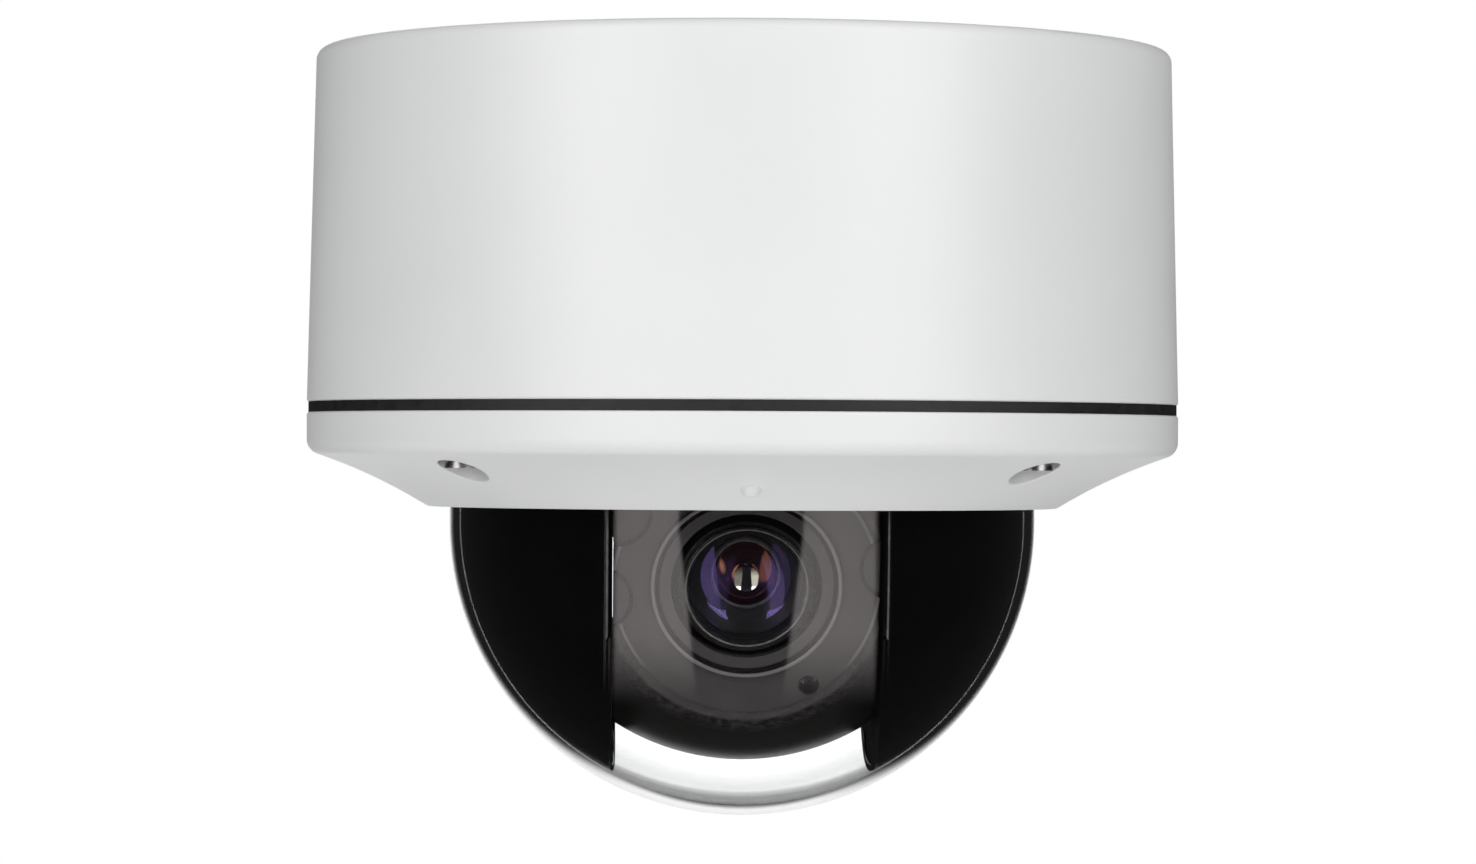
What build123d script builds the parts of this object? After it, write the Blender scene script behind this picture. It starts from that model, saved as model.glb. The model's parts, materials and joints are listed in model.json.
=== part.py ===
from build123d import *
import os
from math import atan2, cos, radians, sin, sqrt

os.makedirs("parts", exist_ok=True)

# A pan-tilt-zoom dome camera, hanging from its flat top.  The origin is the mouth of the pendant
# thread in the middle of the top face, +Z is up and the lens looks along -Y.  Millimetres.

# Clearances
running_gap = 0.05          # shaft in its bore
free_gap = 0.3              # between faces that pass each other
seat_gap = 0.02             # pressed or glued round fits

# Back box
housing_radius = 110.0      # outside, at the bottom rim
housing_taper = 2.1         # smaller radius at the top by this much
housing_height = 89.0
housing_wall = 3.2
top_wall = 4.0
top_round = 3.0
rim_flange_width = 6.4
rim_flange_height = 5.0
pendant_bore_radius = 22.0
pendant_boss_wall = 5.0
pendant_depth = 14.0
ceiling_hole_radius = 2.75
ceiling_hole_wall = 3.25     # between a ceiling hole and the post beside it
rim_z = -housing_height

# Captive screws that hold the trim ring
captive_thread_radius = 2.5
captive_boss_radius = 6.4
captive_boss_height = 22.0
captive_web_width = 10.2     # of the boss, where it runs into the wall
captive_head_radius = 4.5
captive_head_height = 4.2
captive_washer_thickness = 0.8
captive_pocket_radius = 6.1
captive_pocket_wall = 1.4
captive_floor = 11.3        # from the rim down to the pocket floor
captive_socket_radius = 2.3

# Trim ring
gasket_thickness = 2.6
gasket_recess = 0.4
gasket_width = 5.8
gasket_side_gap = 0.4       # beside the captive screw bosses
trim_depth = 23.5
trim_band_height = 9.6
trim_corner_radius = 4.0
trim_cone_hollow = 1.15
trim_wall = 3.5
trim_lip_width = 4.5
trim_lip_round = 1.2
trim_bore_gap = 1.0
mark_radius = 2.6           # moulded front mark under the trim ring
mark_depth = 0.9            # its centre, above the surface
mark_circle_radius = 88.0
land_radius = housing_radius - gasket_recess - gasket_width
captive_circle_radius = land_radius - gasket_side_gap - captive_boss_radius
trim_top_z = rim_z - gasket_thickness
trim_corner_z = trim_top_z - trim_band_height
lip_z = trim_top_z - trim_depth

# Bubble and its clamp
bubble_radius = 74.0
bubble_wall = 2.5
bubble_drop = 3.8           # sphere centre below the trim lip
bubble_seat_height = 6.5    # seat above the bottom of the trim lip
bubble_gasket_thickness = 1.2
bubble_flange_width = 9.8
bubble_flange_thickness = 2.5
clamp_thickness = 2.0
clamp_screw_count = 8
clamp_screw_radius = 1.5
clamp_screw_length = 3.5     # in the boss, below the ring
clamp_boss_radius = 3.2
head_z = lip_z - bubble_drop
seat_z = lip_z + bubble_seat_height
flange_z = seat_z + bubble_gasket_thickness
clamp_z = flange_z + bubble_flange_thickness
lip_radius = bubble_radius + trim_bore_gap + trim_lip_width
flange_radius = bubble_radius + bubble_flange_width
clamp_circle_radius = flange_radius + free_gap + clamp_boss_radius

# Chassis plate, hung from four posts inside the back box
chassis_gap = 2.6           # around the plate, to the captive screw bosses
chassis_thickness = 3.0
chassis_drop = 38.0         # top of the plate below the top face
post_inset = 6.0            # from the edge of the plate
post_radius = 5.0
post_thread_radius = 1.7
chassis_screw_length = 10.0
chassis_radius = captive_circle_radius - captive_boss_radius - chassis_gap
post_circle_radius = chassis_radius - post_inset
ceiling_circle_radius = post_circle_radius + post_radius + ceiling_hole_wall + ceiling_hole_radius
chassis_z = -chassis_drop
chassis_under_z = chassis_z - chassis_thickness

# Pan bearing and spindle
bearing_inner_radius = 12.5
bearing_outer_radius = 18.5
bearing_width = 7.0
race_thickness = 2.2
ball_count = 12
bearing_lip = 1.0
hub_wall = 3.5
hub_rise = 3.0
spindle_bore_radius = 9.0
nut_height = 1.8
bearing_z = chassis_z - bearing_width
hub_under_z = bearing_z - bearing_lip
hub_top_z = chassis_z + hub_rise
shoulder_radius = bearing_inner_radius + race_thickness

# Pan belt drive
pan_pulley_radius = 32.0    # under the belt
pan_motor_pulley_radius = 8.0
pulley_flange = 2.0
pulley_flange_thickness = 0.7
belt_width = 3.6
belt_thickness = 1.2
belt_side_gap = 0.2
pan_motor_offset = 62.0
pan_motor_radius = 17.5
pan_motor_length = 16.0
motor_pilot_radius = 6.0
motor_shaft_radius = 2.0
motor_ear_reach = 6.0
motor_screw_radius = 1.5
pulley_width = belt_width + 2 * (belt_side_gap + pulley_flange_thickness)
pan_pulley_top_z = hub_under_z - 2 * free_gap
yoke_top_z = pan_pulley_top_z - pulley_width
web_thickness = 2.0

# Yoke, which carries the camera head between two arms
yoke_thickness = 3.5
yoke_radius = 52.0
spindle_flange_radius = 20.0
spindle_flange_thickness = 1.5
yoke_screw_count = 6
yoke_screw_circle_radius = 17.2
yoke_screw_radius = 1.25
arm_thickness = 4.0
arm_half_width = 18.0
tilt_bearing_radius = 8.0
tilt_axle_radius = 4.0

# Shrouds: two glossy half domes with a slot between them
slot_half_width = 33.2
shroud_gap = 0.8            # to the inside of the bubble
shroud_wall = 2.0
shroud_rise = 20.0          # above the tilt axis
shroud_bead = 0.8           # narrower slot along the lower rim
shroud_bead_depth = 1.6
shroud_bead_drop = 27.0     # below the tilt axis
shroud_screw_radius = 1.25
shroud_screw_y = 12.6
shroud_screw_rise = 12.0    # above the tilt axis
shroud_radius = bubble_radius - bubble_wall - shroud_gap
arm_x = slot_half_width + shroud_wall

# Camera head, a ball with flat sides
head_radius = 60.0
head_side_gap = 1.0
head_wall = 2.2
head_split = 8.0            # seam ahead of the tilt axis
head_face = 49.0            # flat front face ahead of the tilt axis
rest_tilt = 17.0            # degrees below level
head_half_width = slot_half_width - head_side_gap

# Lens and the stepped ring around it
lens_opening_radius = 18.3
rim_inner_radius = 22.4
rim_outer_radius = 24.0
rim_height = 1.6
step_outer_radius = 21.2
step_height = 0.8
barrel_radius = 16.5
barrel_bore_radius = 14.7
barrel_front = 51.0
barrel_back = 3.0
barrel_wall = 2.0
barrel_flange_radius = 22.5
retainer_radius = 15.5
retainer_opening_radius = 13.8
retainer_depth = 3.0
retainer_stand = 1.4
retainer_rim = 0.8
element_step = 1.5
element_edge = 3.4
element_bulge = 2.9
face_screw_circle_radius = 30.0
face_screw_angle = -59.0
face_screw_radius = 1.5
face_screw_recess_radius = 2.4
face_screw_recess = 8.0
pad_radius = 7.5
pad_circle_radius = 36.0
pad_angles = (7.0, 150.0, 186.0)
disc_radius = 32.6          # raised disc on the flat front
disc_height = 0.8
face_boss_radius = 4.0

# Frame inside the head
frame_plate = 2.5
frame_half_height = 14.0
frame_back = 14.0
shell_screw_back = 8.4      # behind the tilt axis
shell_screw_rise = 9.8
cross_half_height = 30.0
cross_front = 12.0
cross_thickness = 2.0
barrel_flange_thickness = 2.0
barrel_screw_circle_radius = 19.6
tilt_axle_flange_radius = 9.0
tilt_axle_flange = 2.0

# Moving lens groups, seen along the lens axis from the tilt axis
carriage_radius = 10.4
group_bore_radius = 6.5
lug_radius = 2.2
rod_radius = 1.0
rod_circle_radius = 12.0
rod_angle = 45.0
screw_circle_radius = 12.0
lead_screw_radius = 0.8
zoom_group_place = 34.0
zoom_group_length = 6.0
fixed_group_place = 18.0
fixed_group_length = 3.0
focus_group_place = 13.0
focus_group_length = 3.0
filter_place = 6.4
filter_thickness = 1.4
filter_length = 18.0
filter_height = 9.0
filter_window = 7.0
sensor_window = 5.5
step_motor_radius = 4.4
step_motor_length = 9.0
sensor_side = 9.0
sensor_board_width = 26.0
sensor_board_height = 14.0
sensor_post_x = 10.5
sensor_post_length = 4.4
board_thickness = 1.6

# Tilt drive on the right arm
tilt_pulley_radius = 15.0
tilt_motor_pulley_radius = 5.0
tilt_motor_rise = 30.0
tilt_motor_radius = 12.0
tilt_motor_length = 15.0
tilt_pulley_gap = 1.0
bracket_thickness = 2.0
bracket_half_width = 21.0
bracket_top = 46.0          # above the tilt axis
bracket_foot = 12.0
bracket_foot_width = 27.0
bracket_screw_rise = 7.2    # above the top of the bracket
driver_board_width = 32.0
driver_board_height = 34.0
driver_board_rise = 32.0
driver_spacer = 4.0
driver_hole_inset = 2.7     # from the edges of the board
tilt_pulley_x = arm_x + arm_thickness + tilt_pulley_gap
bracket_x = tilt_pulley_x + pulley_width + tilt_pulley_gap
arm_face_x = arm_x + arm_thickness

# Boards, fan and connectors
main_board_radius = 74.0
main_board_hole_radius = 15.0
standoff_length = 18.4
standoff_radius = 3.0
standoff_inset = 17.0
standoff_x = main_board_radius - standoff_inset
standoff_y = 33.0
board_screw_radius = 1.25
fan_side = 40.0
fan_thickness = 10.0
fan_duct_radius = 18.5
fan_offset = 56.0
fan_hub_radius = 9.0
fan_blade_count = 7
fan_blade_thickness = 1.0
fan_blade_root = 1.0        # inside the hub
slip_ring_radius = 10.0
slip_ring_rotor_radius = 7.0
slip_ring_length = 13.0
slip_flange_thickness = 2.5
screw_head_factor = 1.8     # radius of a small screw's head over that of its thread
fan_corner_radius = 3.0
fan_hole_inset = 4.0
fan_strut_width = 3.0
fan_blade_sweep = 25.0      # degrees back from the radius
fan_pin_radius = 1.0
jack_size = (16.0, 21.0, 12.0)
jack_mouth = (10.0, 12.0, 7.0)
jack_x = -48.0
terminal_x = 46.0
terminal_pitch = 5.0
terminal_ways = 6
terminal_width = 8.0
terminal_height = 9.0
terminal_screw_radius = 1.8
terminal_screw_depth = 4.0
heat_sink_side = 26.0
heat_sink_base = 2.0
heat_sink_height = 9.0
heat_sink_y = -50.0
fin_count = 8
fin_pitch = 3.4
fin_thickness = 1.2
transformer_size = (18.0, 16.0, 10.0)
capacitor_radius = 5.0
capacitor_height = 11.0
capacitor_x = 24.0
power_y = 50.0
driver_socket = (3.0, 12.0, 18.0)
board_z = chassis_z + standoff_length
board_top_z = board_z + board_thickness

# Planes of the tilting head: across the lens axis, and along it with radius to the right
head_centre = (0, 0, head_z)
lens_dir = (0, -cos(radians(rest_tilt)), -sin(radians(rest_tilt)))
lens_up = (0, -sin(radians(rest_tilt)), cos(radians(rest_tilt)))
lens_plane = Plane(origin=head_centre, x_dir=(1, 0, 0), z_dir=lens_dir)
lens_section = Plane(origin=head_centre, x_dir=lens_up, z_dir=(1, 0, 0))
lens_axis = Axis(head_centre, lens_dir)
side_plane = Plane(origin=head_centre, x_dir=(0, 1, 0), z_dir=(1, 0, 0))


def save(piece, label):
    """Name a finished piece and write it to its own file."""
    piece.part.label = label
    export_step(piece.part, "parts/" + label + ".step")


def ring_at(plane, outer, inner, thickness):
    """A flat ring standing on a plane."""
    with BuildPart() as ring:
        with BuildSketch(plane):
            Circle(outer)
            Circle(inner, mode=Mode.SUBTRACT)
        extrude(amount=thickness)
    return ring.part


def pin_screw(thread_radius, length):
    """A screw with its head standing on the XY plane and its thread going down through it."""
    cap_radius = screw_head_factor * thread_radius
    with BuildPart() as screw:
        with BuildSketch():
            Circle(cap_radius)
        extrude(amount=thread_radius)
        with BuildSketch():
            Circle(thread_radius)
        extrude(amount=-length)
        with BuildSketch(Plane.XY.offset(thread_radius)):
            RegularPolygon(0.5 * cap_radius, 6)
        extrude(amount=-0.5 * thread_radius, mode=Mode.SUBTRACT)
    return screw.part


def belt_loop(plane, offset, large, small, width):
    """A flat belt around two pulleys whose centres lie the given offset apart."""
    with BuildPart() as belt:
        with BuildSketch(plane) as outside:
            Circle(large + free_gap + belt_thickness)
            with Locations(offset):
                Circle(small + free_gap + belt_thickness)
            make_hull()
        extrude(amount=width)
        with BuildSketch(plane) as inside:
            Circle(large + free_gap)
            with Locations(offset):
                Circle(small + free_gap)
            make_hull()
        extrude(amount=width, mode=Mode.SUBTRACT)
    return belt.part


def pulley_form(plane, groove_radius, bore_radius):
    """A belt pulley with two flanges, standing on a plane."""
    with BuildPart() as pulley:
        with BuildSketch(plane):
            Circle(groove_radius + pulley_flange)
        extrude(amount=pulley_flange_thickness)
        with BuildSketch(plane.offset(pulley_width - pulley_flange_thickness)):
            Circle(groove_radius + pulley_flange)
        extrude(amount=pulley_flange_thickness)
        with BuildSketch(plane):
            Circle(groove_radius)
        extrude(amount=pulley_width)
        with BuildSketch(plane):
            Circle(bore_radius)
        extrude(amount=pulley_width, mode=Mode.SUBTRACT)
    return pulley.part


def polar(radius, angle):
    """The point at a radius and an angle in degrees."""
    return (radius * cos(radians(angle)), radius * sin(radians(angle)))


def cone_point(radius):
    """Height of the trim ring's hollow underside at a radius."""
    half = (housing_radius - lip_radius) / 2
    share = (housing_radius - radius) / (2 * half)
    chord = trim_corner_z + share * (lip_z - trim_corner_z)
    return chord + trim_cone_hollow * (1 - (2 * share - 1) ** 2)


# ---------------------------------------------------------------- back box
top_radius = housing_radius - housing_taper
with BuildPart() as back_box:
    with BuildSketch(Plane.XZ):
        Polygon(
            (0, 0),
            (top_radius, 0),
            (housing_radius, rim_z),
            (housing_radius - rim_flange_width, rim_z),
            (housing_radius - rim_flange_width, rim_z + rim_flange_height),
            (housing_radius - housing_wall, rim_z + rim_flange_height + housing_wall),
            (top_radius - housing_wall, -top_wall),
            (0, -top_wall),
            align=None,
        )
    revolve(axis=Axis.Z)
    fillet(back_box.edges().group_by(Axis.Z)[-1], top_round)
    with BuildSketch(Plane.XY.offset(-top_wall)):
        Circle(pendant_bore_radius + pendant_boss_wall)
    extrude(amount=-(pendant_depth - top_wall))
    with BuildSketch():
        Circle(pendant_bore_radius)
    extrude(amount=-pendant_depth, mode=Mode.SUBTRACT)
    with BuildSketch(Plane.XY.offset(-top_wall)):
        with PolarLocations(post_circle_radius, 4, start_angle=45):
            Circle(post_radius)
    extrude(amount=chassis_z + top_wall)
    with BuildSketch(Plane.XY.offset(rim_z)):
        with PolarLocations(captive_circle_radius, 4, start_angle=45):
            Circle(captive_boss_radius)
            with Locations((captive_boss_radius, 0)):
                Rectangle(2 * captive_boss_radius - housing_wall, captive_web_width)
    extrude(amount=captive_boss_height)
    with BuildSketch(Plane.XY.offset(chassis_z)):
        with PolarLocations(post_circle_radius, 4, start_angle=45):
            Circle(post_thread_radius)
    extrude(amount=chassis_screw_length, mode=Mode.SUBTRACT)
    with BuildSketch(Plane.XY.offset(rim_z)):
        with PolarLocations(captive_circle_radius, 4, start_angle=45):
            Circle(captive_thread_radius + running_gap)
    extrude(amount=captive_boss_height - captive_thread_radius, mode=Mode.SUBTRACT)
    with BuildSketch():
        with PolarLocations(ceiling_circle_radius, 4, start_angle=45):
            Circle(ceiling_hole_radius)
    extrude(amount=-top_wall, mode=Mode.SUBTRACT)
save(back_box, "back_box")

# ---------------------------------------------------------------- housing gasket
with BuildPart() as housing_gasket:
    add(
        ring_at(
            Plane.XY.offset(trim_top_z),
            housing_radius - gasket_recess,
            land_radius,
            gasket_thickness,
        )
    )
save(housing_gasket, "housing_gasket")

# ---------------------------------------------------------------- trim ring
trim_bore_radius = bubble_radius + trim_bore_gap
ledge_radius = flange_radius + 2 * free_gap
pocket_z = rim_z - captive_floor
pocket_column_radius = captive_pocket_radius + captive_pocket_wall

with BuildPart() as trim_form:
    with BuildSketch(Plane.XZ):
        with BuildLine():
            corner = (housing_radius, trim_corner_z)
            lip_edge = (lip_radius, lip_z)
            middle_radius = (housing_radius + lip_radius) / 2
            Polyline((trim_bore_radius, trim_top_z), (housing_radius, trim_top_z), corner)
            ThreePointArc(corner, (middle_radius, cone_point(middle_radius)), lip_edge)
            Polyline(lip_edge, (trim_bore_radius, lip_z), (trim_bore_radius, trim_top_z))
        make_face()
    revolve(axis=Axis.Z)
    rims = trim_form.edges().filter_by(GeomType.CIRCLE)
    corner_rim = rims.filter_by(lambda e: abs(e.radius - housing_radius) < 0.01).sort_by(Axis.Z)[0]
    lip_rim = rims.filter_by(lambda e: abs(e.radius - lip_radius) < 0.01)
    fillet(corner_rim, trim_corner_radius)
    fillet(lip_rim, trim_lip_round)

with BuildPart() as trim_columns:
    with BuildSketch(Plane.XY.offset(trim_top_z)):
        with PolarLocations(captive_circle_radius, 4, start_angle=45):
            Circle(captive_boss_radius)
    extrude(amount=-trim_depth)
    with BuildSketch(Plane.XY.offset(pocket_z + 2 * trim_wall)):
        with PolarLocations(captive_circle_radius, 4, start_angle=45):
            Circle(pocket_column_radius)
    extrude(amount=-trim_depth)
    with BuildSketch(Plane.XY.offset(clamp_z)):
        with PolarLocations(clamp_circle_radius, clamp_screw_count, start_angle=180 / clamp_screw_count):
            Circle(clamp_boss_radius)
    extrude(amount=-trim_depth)
    add(trim_form.part, mode=Mode.INTERSECT)

with BuildPart() as trim_ring:
    add(trim_form.part)
    with BuildSketch(Plane.XZ):
        Polygon(
            (trim_bore_radius - trim_bore_gap, trim_top_z + gasket_thickness),
            (land_radius, trim_top_z + gasket_thickness),
            (land_radius, cone_point(land_radius) + trim_wall),
            (ledge_radius, seat_z),
            (trim_bore_radius - trim_bore_gap, seat_z),
            align=None,
        )
    revolve(axis=Axis.Z, mode=Mode.SUBTRACT)
    add(trim_columns.part)
    with BuildSketch(Plane.XY.offset(trim_top_z)):
        with PolarLocations(captive_circle_radius, 4, start_angle=45):
            Circle(captive_boss_radius)
    extrude(amount=gasket_thickness)
    with BuildSketch(Plane.XY.offset(pocket_z)):
        with PolarLocations(captive_circle_radius, 4, start_angle=45):
            Circle(captive_pocket_radius)
    extrude(amount=-trim_depth, mode=Mode.SUBTRACT)
    with BuildSketch(Plane.XY.offset(rim_z)):
        with PolarLocations(captive_circle_radius, 4, start_angle=45):
            Circle(captive_thread_radius + running_gap)
    extrude(amount=-captive_floor, mode=Mode.SUBTRACT)
    with BuildSketch(Plane.XY.offset(clamp_z)):
        with PolarLocations(clamp_circle_radius, clamp_screw_count, start_angle=180 / clamp_screw_count):
            Circle(clamp_screw_radius)
    extrude(amount=-clamp_screw_length, mode=Mode.SUBTRACT)
    with Locations((0, -mark_circle_radius, cone_point(mark_circle_radius) + mark_depth)):
        Sphere(mark_radius)
save(trim_ring, "trim_ring")

# ---------------------------------------------------------------- captive screws and washers
washer_plane = Plane.XY.offset(pocket_z - captive_washer_thickness)
with BuildPart() as captive_washers:
    with BuildSketch(washer_plane):
        with PolarLocations(captive_circle_radius, 4, start_angle=45):
            Circle(captive_pocket_radius - free_gap)
            Circle(captive_thread_radius + running_gap, mode=Mode.SUBTRACT)
    extrude(amount=captive_washer_thickness)
save(captive_washers, "captive_washers")

with BuildPart() as captive_screws:
    with BuildSketch(washer_plane):
        with PolarLocations(captive_circle_radius, 4, start_angle=45):
            Circle(captive_head_radius)
    extrude(amount=-captive_head_height)
    with BuildSketch(washer_plane):
        with PolarLocations(captive_circle_radius, 4, start_angle=45):
            Circle(captive_thread_radius)
    extrude(amount=captive_floor + captive_washer_thickness + captive_boss_height / 2)
    with BuildSketch(washer_plane.offset(-captive_head_height)):
        with PolarLocations(captive_circle_radius, 4, start_angle=45):
            RegularPolygon(captive_socket_radius, 6)
    extrude(amount=captive_head_height / 2, mode=Mode.SUBTRACT)
save(captive_screws, "captive_screws")

# ---------------------------------------------------------------- bubble, its gasket and clamp
with BuildPart() as bubble_gasket:
    add(ring_at(Plane.XY.offset(seat_z), flange_radius, trim_bore_radius, bubble_gasket_thickness))
save(bubble_gasket, "bubble_gasket")

bubble_inner = bubble_radius - bubble_wall
with BuildPart() as bubble:
    with BuildSketch(Plane.XZ):
        with BuildLine():
            CenterArc((0, head_z), bubble_radius, -90, 90)
            Polyline(
                (bubble_radius, head_z),
                (bubble_radius, flange_z),
                (flange_radius, flange_z),
                (flange_radius, clamp_z),
                (bubble_inner, clamp_z),
                (bubble_inner, head_z),
            )
            CenterArc((0, head_z), bubble_inner, 0, -90)
            Line((0, head_z - bubble_inner), (0, head_z - bubble_radius))
        make_face()
    revolve(axis=Axis.Z)
save(bubble, "bubble")

with BuildPart() as bubble_clamp_ring:
    with BuildSketch(Plane.XY.offset(clamp_z)):
        Circle(flange_radius)
        with PolarLocations(clamp_circle_radius, clamp_screw_count, start_angle=180 / clamp_screw_count):
            Circle(clamp_boss_radius)
            with Locations((-clamp_boss_radius, 0)):
                Rectangle(2 * clamp_boss_radius, 2 * clamp_boss_radius)
        Circle(bubble_radius, mode=Mode.SUBTRACT)
        with PolarLocations(clamp_circle_radius, clamp_screw_count, start_angle=180 / clamp_screw_count):
            Circle(clamp_screw_radius + running_gap, mode=Mode.SUBTRACT)
    extrude(amount=clamp_thickness)
save(bubble_clamp_ring, "bubble_clamp_ring")

clamp_screw = pin_screw(clamp_screw_radius, clamp_thickness + clamp_screw_length)
with BuildPart() as clamp_screws:
    with Locations((0, 0, clamp_z + clamp_thickness)):
        with PolarLocations(clamp_circle_radius, clamp_screw_count, start_angle=180 / clamp_screw_count):
            add(clamp_screw)
save(clamp_screws, "clamp_screws")

# ---------------------------------------------------------------- chassis plate
hub_radius = bearing_outer_radius + hub_wall
motor_place = (0, pan_motor_offset)
pan_ear_x = pan_motor_radius + motor_ear_reach / 2
motor_ears = ((-pan_ear_x, pan_motor_offset), (pan_ear_x, pan_motor_offset))
fan_place = (0, -fan_offset)
fan_hole = fan_side / 2 - fan_hole_inset
standoffs = [(x, y) for x in (-standoff_x, standoff_x) for y in (-standoff_y, standoff_y)]

with BuildPart() as chassis_plate:
    with BuildSketch(Plane.XY.offset(chassis_under_z)):
        Circle(chassis_radius)
    extrude(amount=chassis_thickness)
    with BuildSketch(Plane.XY.offset(hub_under_z)):
        Circle(hub_radius)
    extrude(amount=hub_top_z - hub_under_z)
    with BuildSketch(Plane.XY.offset(bearing_z)):
        Circle(bearing_outer_radius + seat_gap)
    extrude(amount=hub_top_z - bearing_z, mode=Mode.SUBTRACT)
    with BuildSketch(Plane.XY.offset(hub_under_z)):
        Circle(bearing_outer_radius - race_thickness / 2)
    extrude(amount=bearing_lip, mode=Mode.SUBTRACT)
    with BuildSketch(Plane.XY.offset(chassis_under_z)):
        with PolarLocations(post_circle_radius, 4, start_angle=45):
            Circle(post_thread_radius + running_gap)
        with Locations(motor_place):
            Circle(motor_pilot_radius + running_gap)
        with Locations(*motor_ears):
            Circle(motor_screw_radius + running_gap)
        with Locations(fan_place):
            Circle(fan_duct_radius)
            with GridLocations(2 * fan_hole, 2 * fan_hole, 2, 2):
                Circle(board_screw_radius + running_gap)
        with Locations(*standoffs):
            Circle(board_screw_radius + running_gap)
    extrude(amount=chassis_thickness, mode=Mode.SUBTRACT)
save(chassis_plate, "chassis_plate")

chassis_screw = pin_screw(post_thread_radius, chassis_screw_length)
with BuildPart() as chassis_screws:
    with Locations((0, 0, chassis_under_z)):
        with PolarLocations(post_circle_radius, 4, start_angle=45):
            with Locations(Rotation(180, 0, 0)):
                add(chassis_screw)
save(chassis_screws, "chassis_screws")

# ---------------------------------------------------------------- pan bearing and spindle
bearing_plane = Plane.XY.offset(bearing_z)
outer_race_radius = bearing_outer_radius - race_thickness
with BuildPart() as pan_bearing_outer:
    add(ring_at(bearing_plane, bearing_outer_radius, outer_race_radius, bearing_width))
save(pan_bearing_outer, "pan_bearing_outer")

ball_path_radius = (shoulder_radius + outer_race_radius) / 2
with BuildPart() as pan_bearing_inner:
    add(ring_at(bearing_plane, shoulder_radius, bearing_inner_radius + seat_gap, bearing_width))
    with Locations((0, 0, bearing_z + bearing_width / 2)):
        with PolarLocations(ball_path_radius, ball_count):
            Sphere(ball_path_radius - shoulder_radius - seat_gap)
save(pan_bearing_inner, "pan_bearing_inner")

yoke_z = yoke_top_z - yoke_thickness
spindle_top_z = chassis_z + nut_height
with BuildPart() as pan_spindle:
    with BuildSketch(Plane.XY.offset(yoke_z)):
        Circle(bearing_inner_radius)
    extrude(amount=spindle_top_z - yoke_z)
    with BuildSketch(Plane.XY.offset(bearing_z)):
        Circle(shoulder_radius)
    extrude(amount=yoke_top_z + web_thickness - bearing_z)
    with BuildSketch(Plane.XY.offset(yoke_z)):
        Circle(spindle_flange_radius)
    extrude(amount=spindle_flange_thickness)
    with BuildSketch(Plane.XY.offset(yoke_z)):
        Circle(spindle_bore_radius)
    extrude(amount=spindle_top_z - yoke_z, mode=Mode.SUBTRACT)
    with BuildSketch(Plane.XY.offset(yoke_z)):
        with PolarLocations(yoke_screw_circle_radius, yoke_screw_count):
            Circle(yoke_screw_radius)
    extrude(amount=spindle_flange_thickness, mode=Mode.SUBTRACT)
save(pan_spindle, "pan_spindle")

with BuildPart() as spindle_nut:
    with BuildSketch(Plane.XY.offset(chassis_z)):
        RegularPolygon(shoulder_radius, 8)
        Circle(bearing_inner_radius + seat_gap, mode=Mode.SUBTRACT)
    extrude(amount=nut_height)
save(spindle_nut, "spindle_nut")

with BuildPart() as pan_pulley:
    add(pulley_form(Plane.XY.offset(yoke_top_z), pan_pulley_radius, bearing_inner_radius + seat_gap))
    with BuildSketch(Plane.XY.offset(yoke_top_z + web_thickness)):
        Circle(hub_radius + 3 * free_gap)
    extrude(amount=pulley_width, mode=Mode.SUBTRACT)
    with BuildSketch(Plane.XY.offset(yoke_top_z)):
        with PolarLocations(yoke_screw_circle_radius, yoke_screw_count):
            Circle(yoke_screw_radius + running_gap)
    extrude(amount=web_thickness, mode=Mode.SUBTRACT)
save(pan_pulley, "pan_pulley")

# ---------------------------------------------------------------- slip ring
with BuildPart() as slip_ring_stator:
    with BuildSketch(Plane.XY.offset(hub_top_z)):
        Circle(hub_radius)
        Circle(slip_ring_rotor_radius + free_gap, mode=Mode.SUBTRACT)
    extrude(amount=slip_flange_thickness)
    add(
        ring_at(
            Plane.XY.offset(chassis_z),
            bearing_outer_radius - free_gap,
            outer_race_radius + free_gap,
            hub_rise,
        )
    )
    with BuildSketch(Plane.XY.offset(hub_top_z + slip_flange_thickness)):
        Circle(slip_ring_radius)
    extrude(amount=slip_ring_length - slip_flange_thickness)
    with BuildSketch(Plane.XY.offset(hub_top_z + slip_flange_thickness)):
        Circle(slip_ring_rotor_radius + free_gap)
    extrude(amount=slip_ring_length - 2 * slip_flange_thickness, mode=Mode.SUBTRACT)
save(slip_ring_stator, "slip_ring_stator")

slip_rotor_top_z = hub_top_z + slip_ring_length - slip_flange_thickness - free_gap
with BuildPart() as slip_ring_rotor:
    with BuildSketch(Plane.XY.offset(bearing_z)):
        Circle(slip_ring_rotor_radius)
    extrude(amount=slip_rotor_top_z - bearing_z)
    with BuildSketch(Plane.XY.offset(bearing_z)):
        Circle(spindle_bore_radius - seat_gap)
    extrude(amount=bearing_width / 2)
save(slip_ring_rotor, "slip_ring_rotor")

# ---------------------------------------------------------------- pan motor, its pulley and the belt
pan_shaft_end_z = yoke_top_z + free_gap
with BuildPart() as pan_motor:
    with BuildSketch(Plane.XY.offset(chassis_z)):
        with Locations(motor_place):
            Circle(pan_motor_radius)
    extrude(amount=pan_motor_length)
    with BuildSketch(Plane.XY.offset(chassis_z)):
        with Locations(*motor_ears):
            Circle(motor_ear_reach)
            Circle(motor_screw_radius + running_gap, mode=Mode.SUBTRACT)
    extrude(amount=board_thickness)
    with BuildSketch(Plane.XY.offset(chassis_z)):
        with Locations(motor_place):
            Circle(motor_pilot_radius)
    extrude(amount=-chassis_thickness)
    with BuildSketch(Plane.XY.offset(chassis_z)):
        with Locations(motor_place):
            Circle(motor_shaft_radius)
    extrude(amount=pan_shaft_end_z - chassis_z)
save(pan_motor, "pan_motor")

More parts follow.
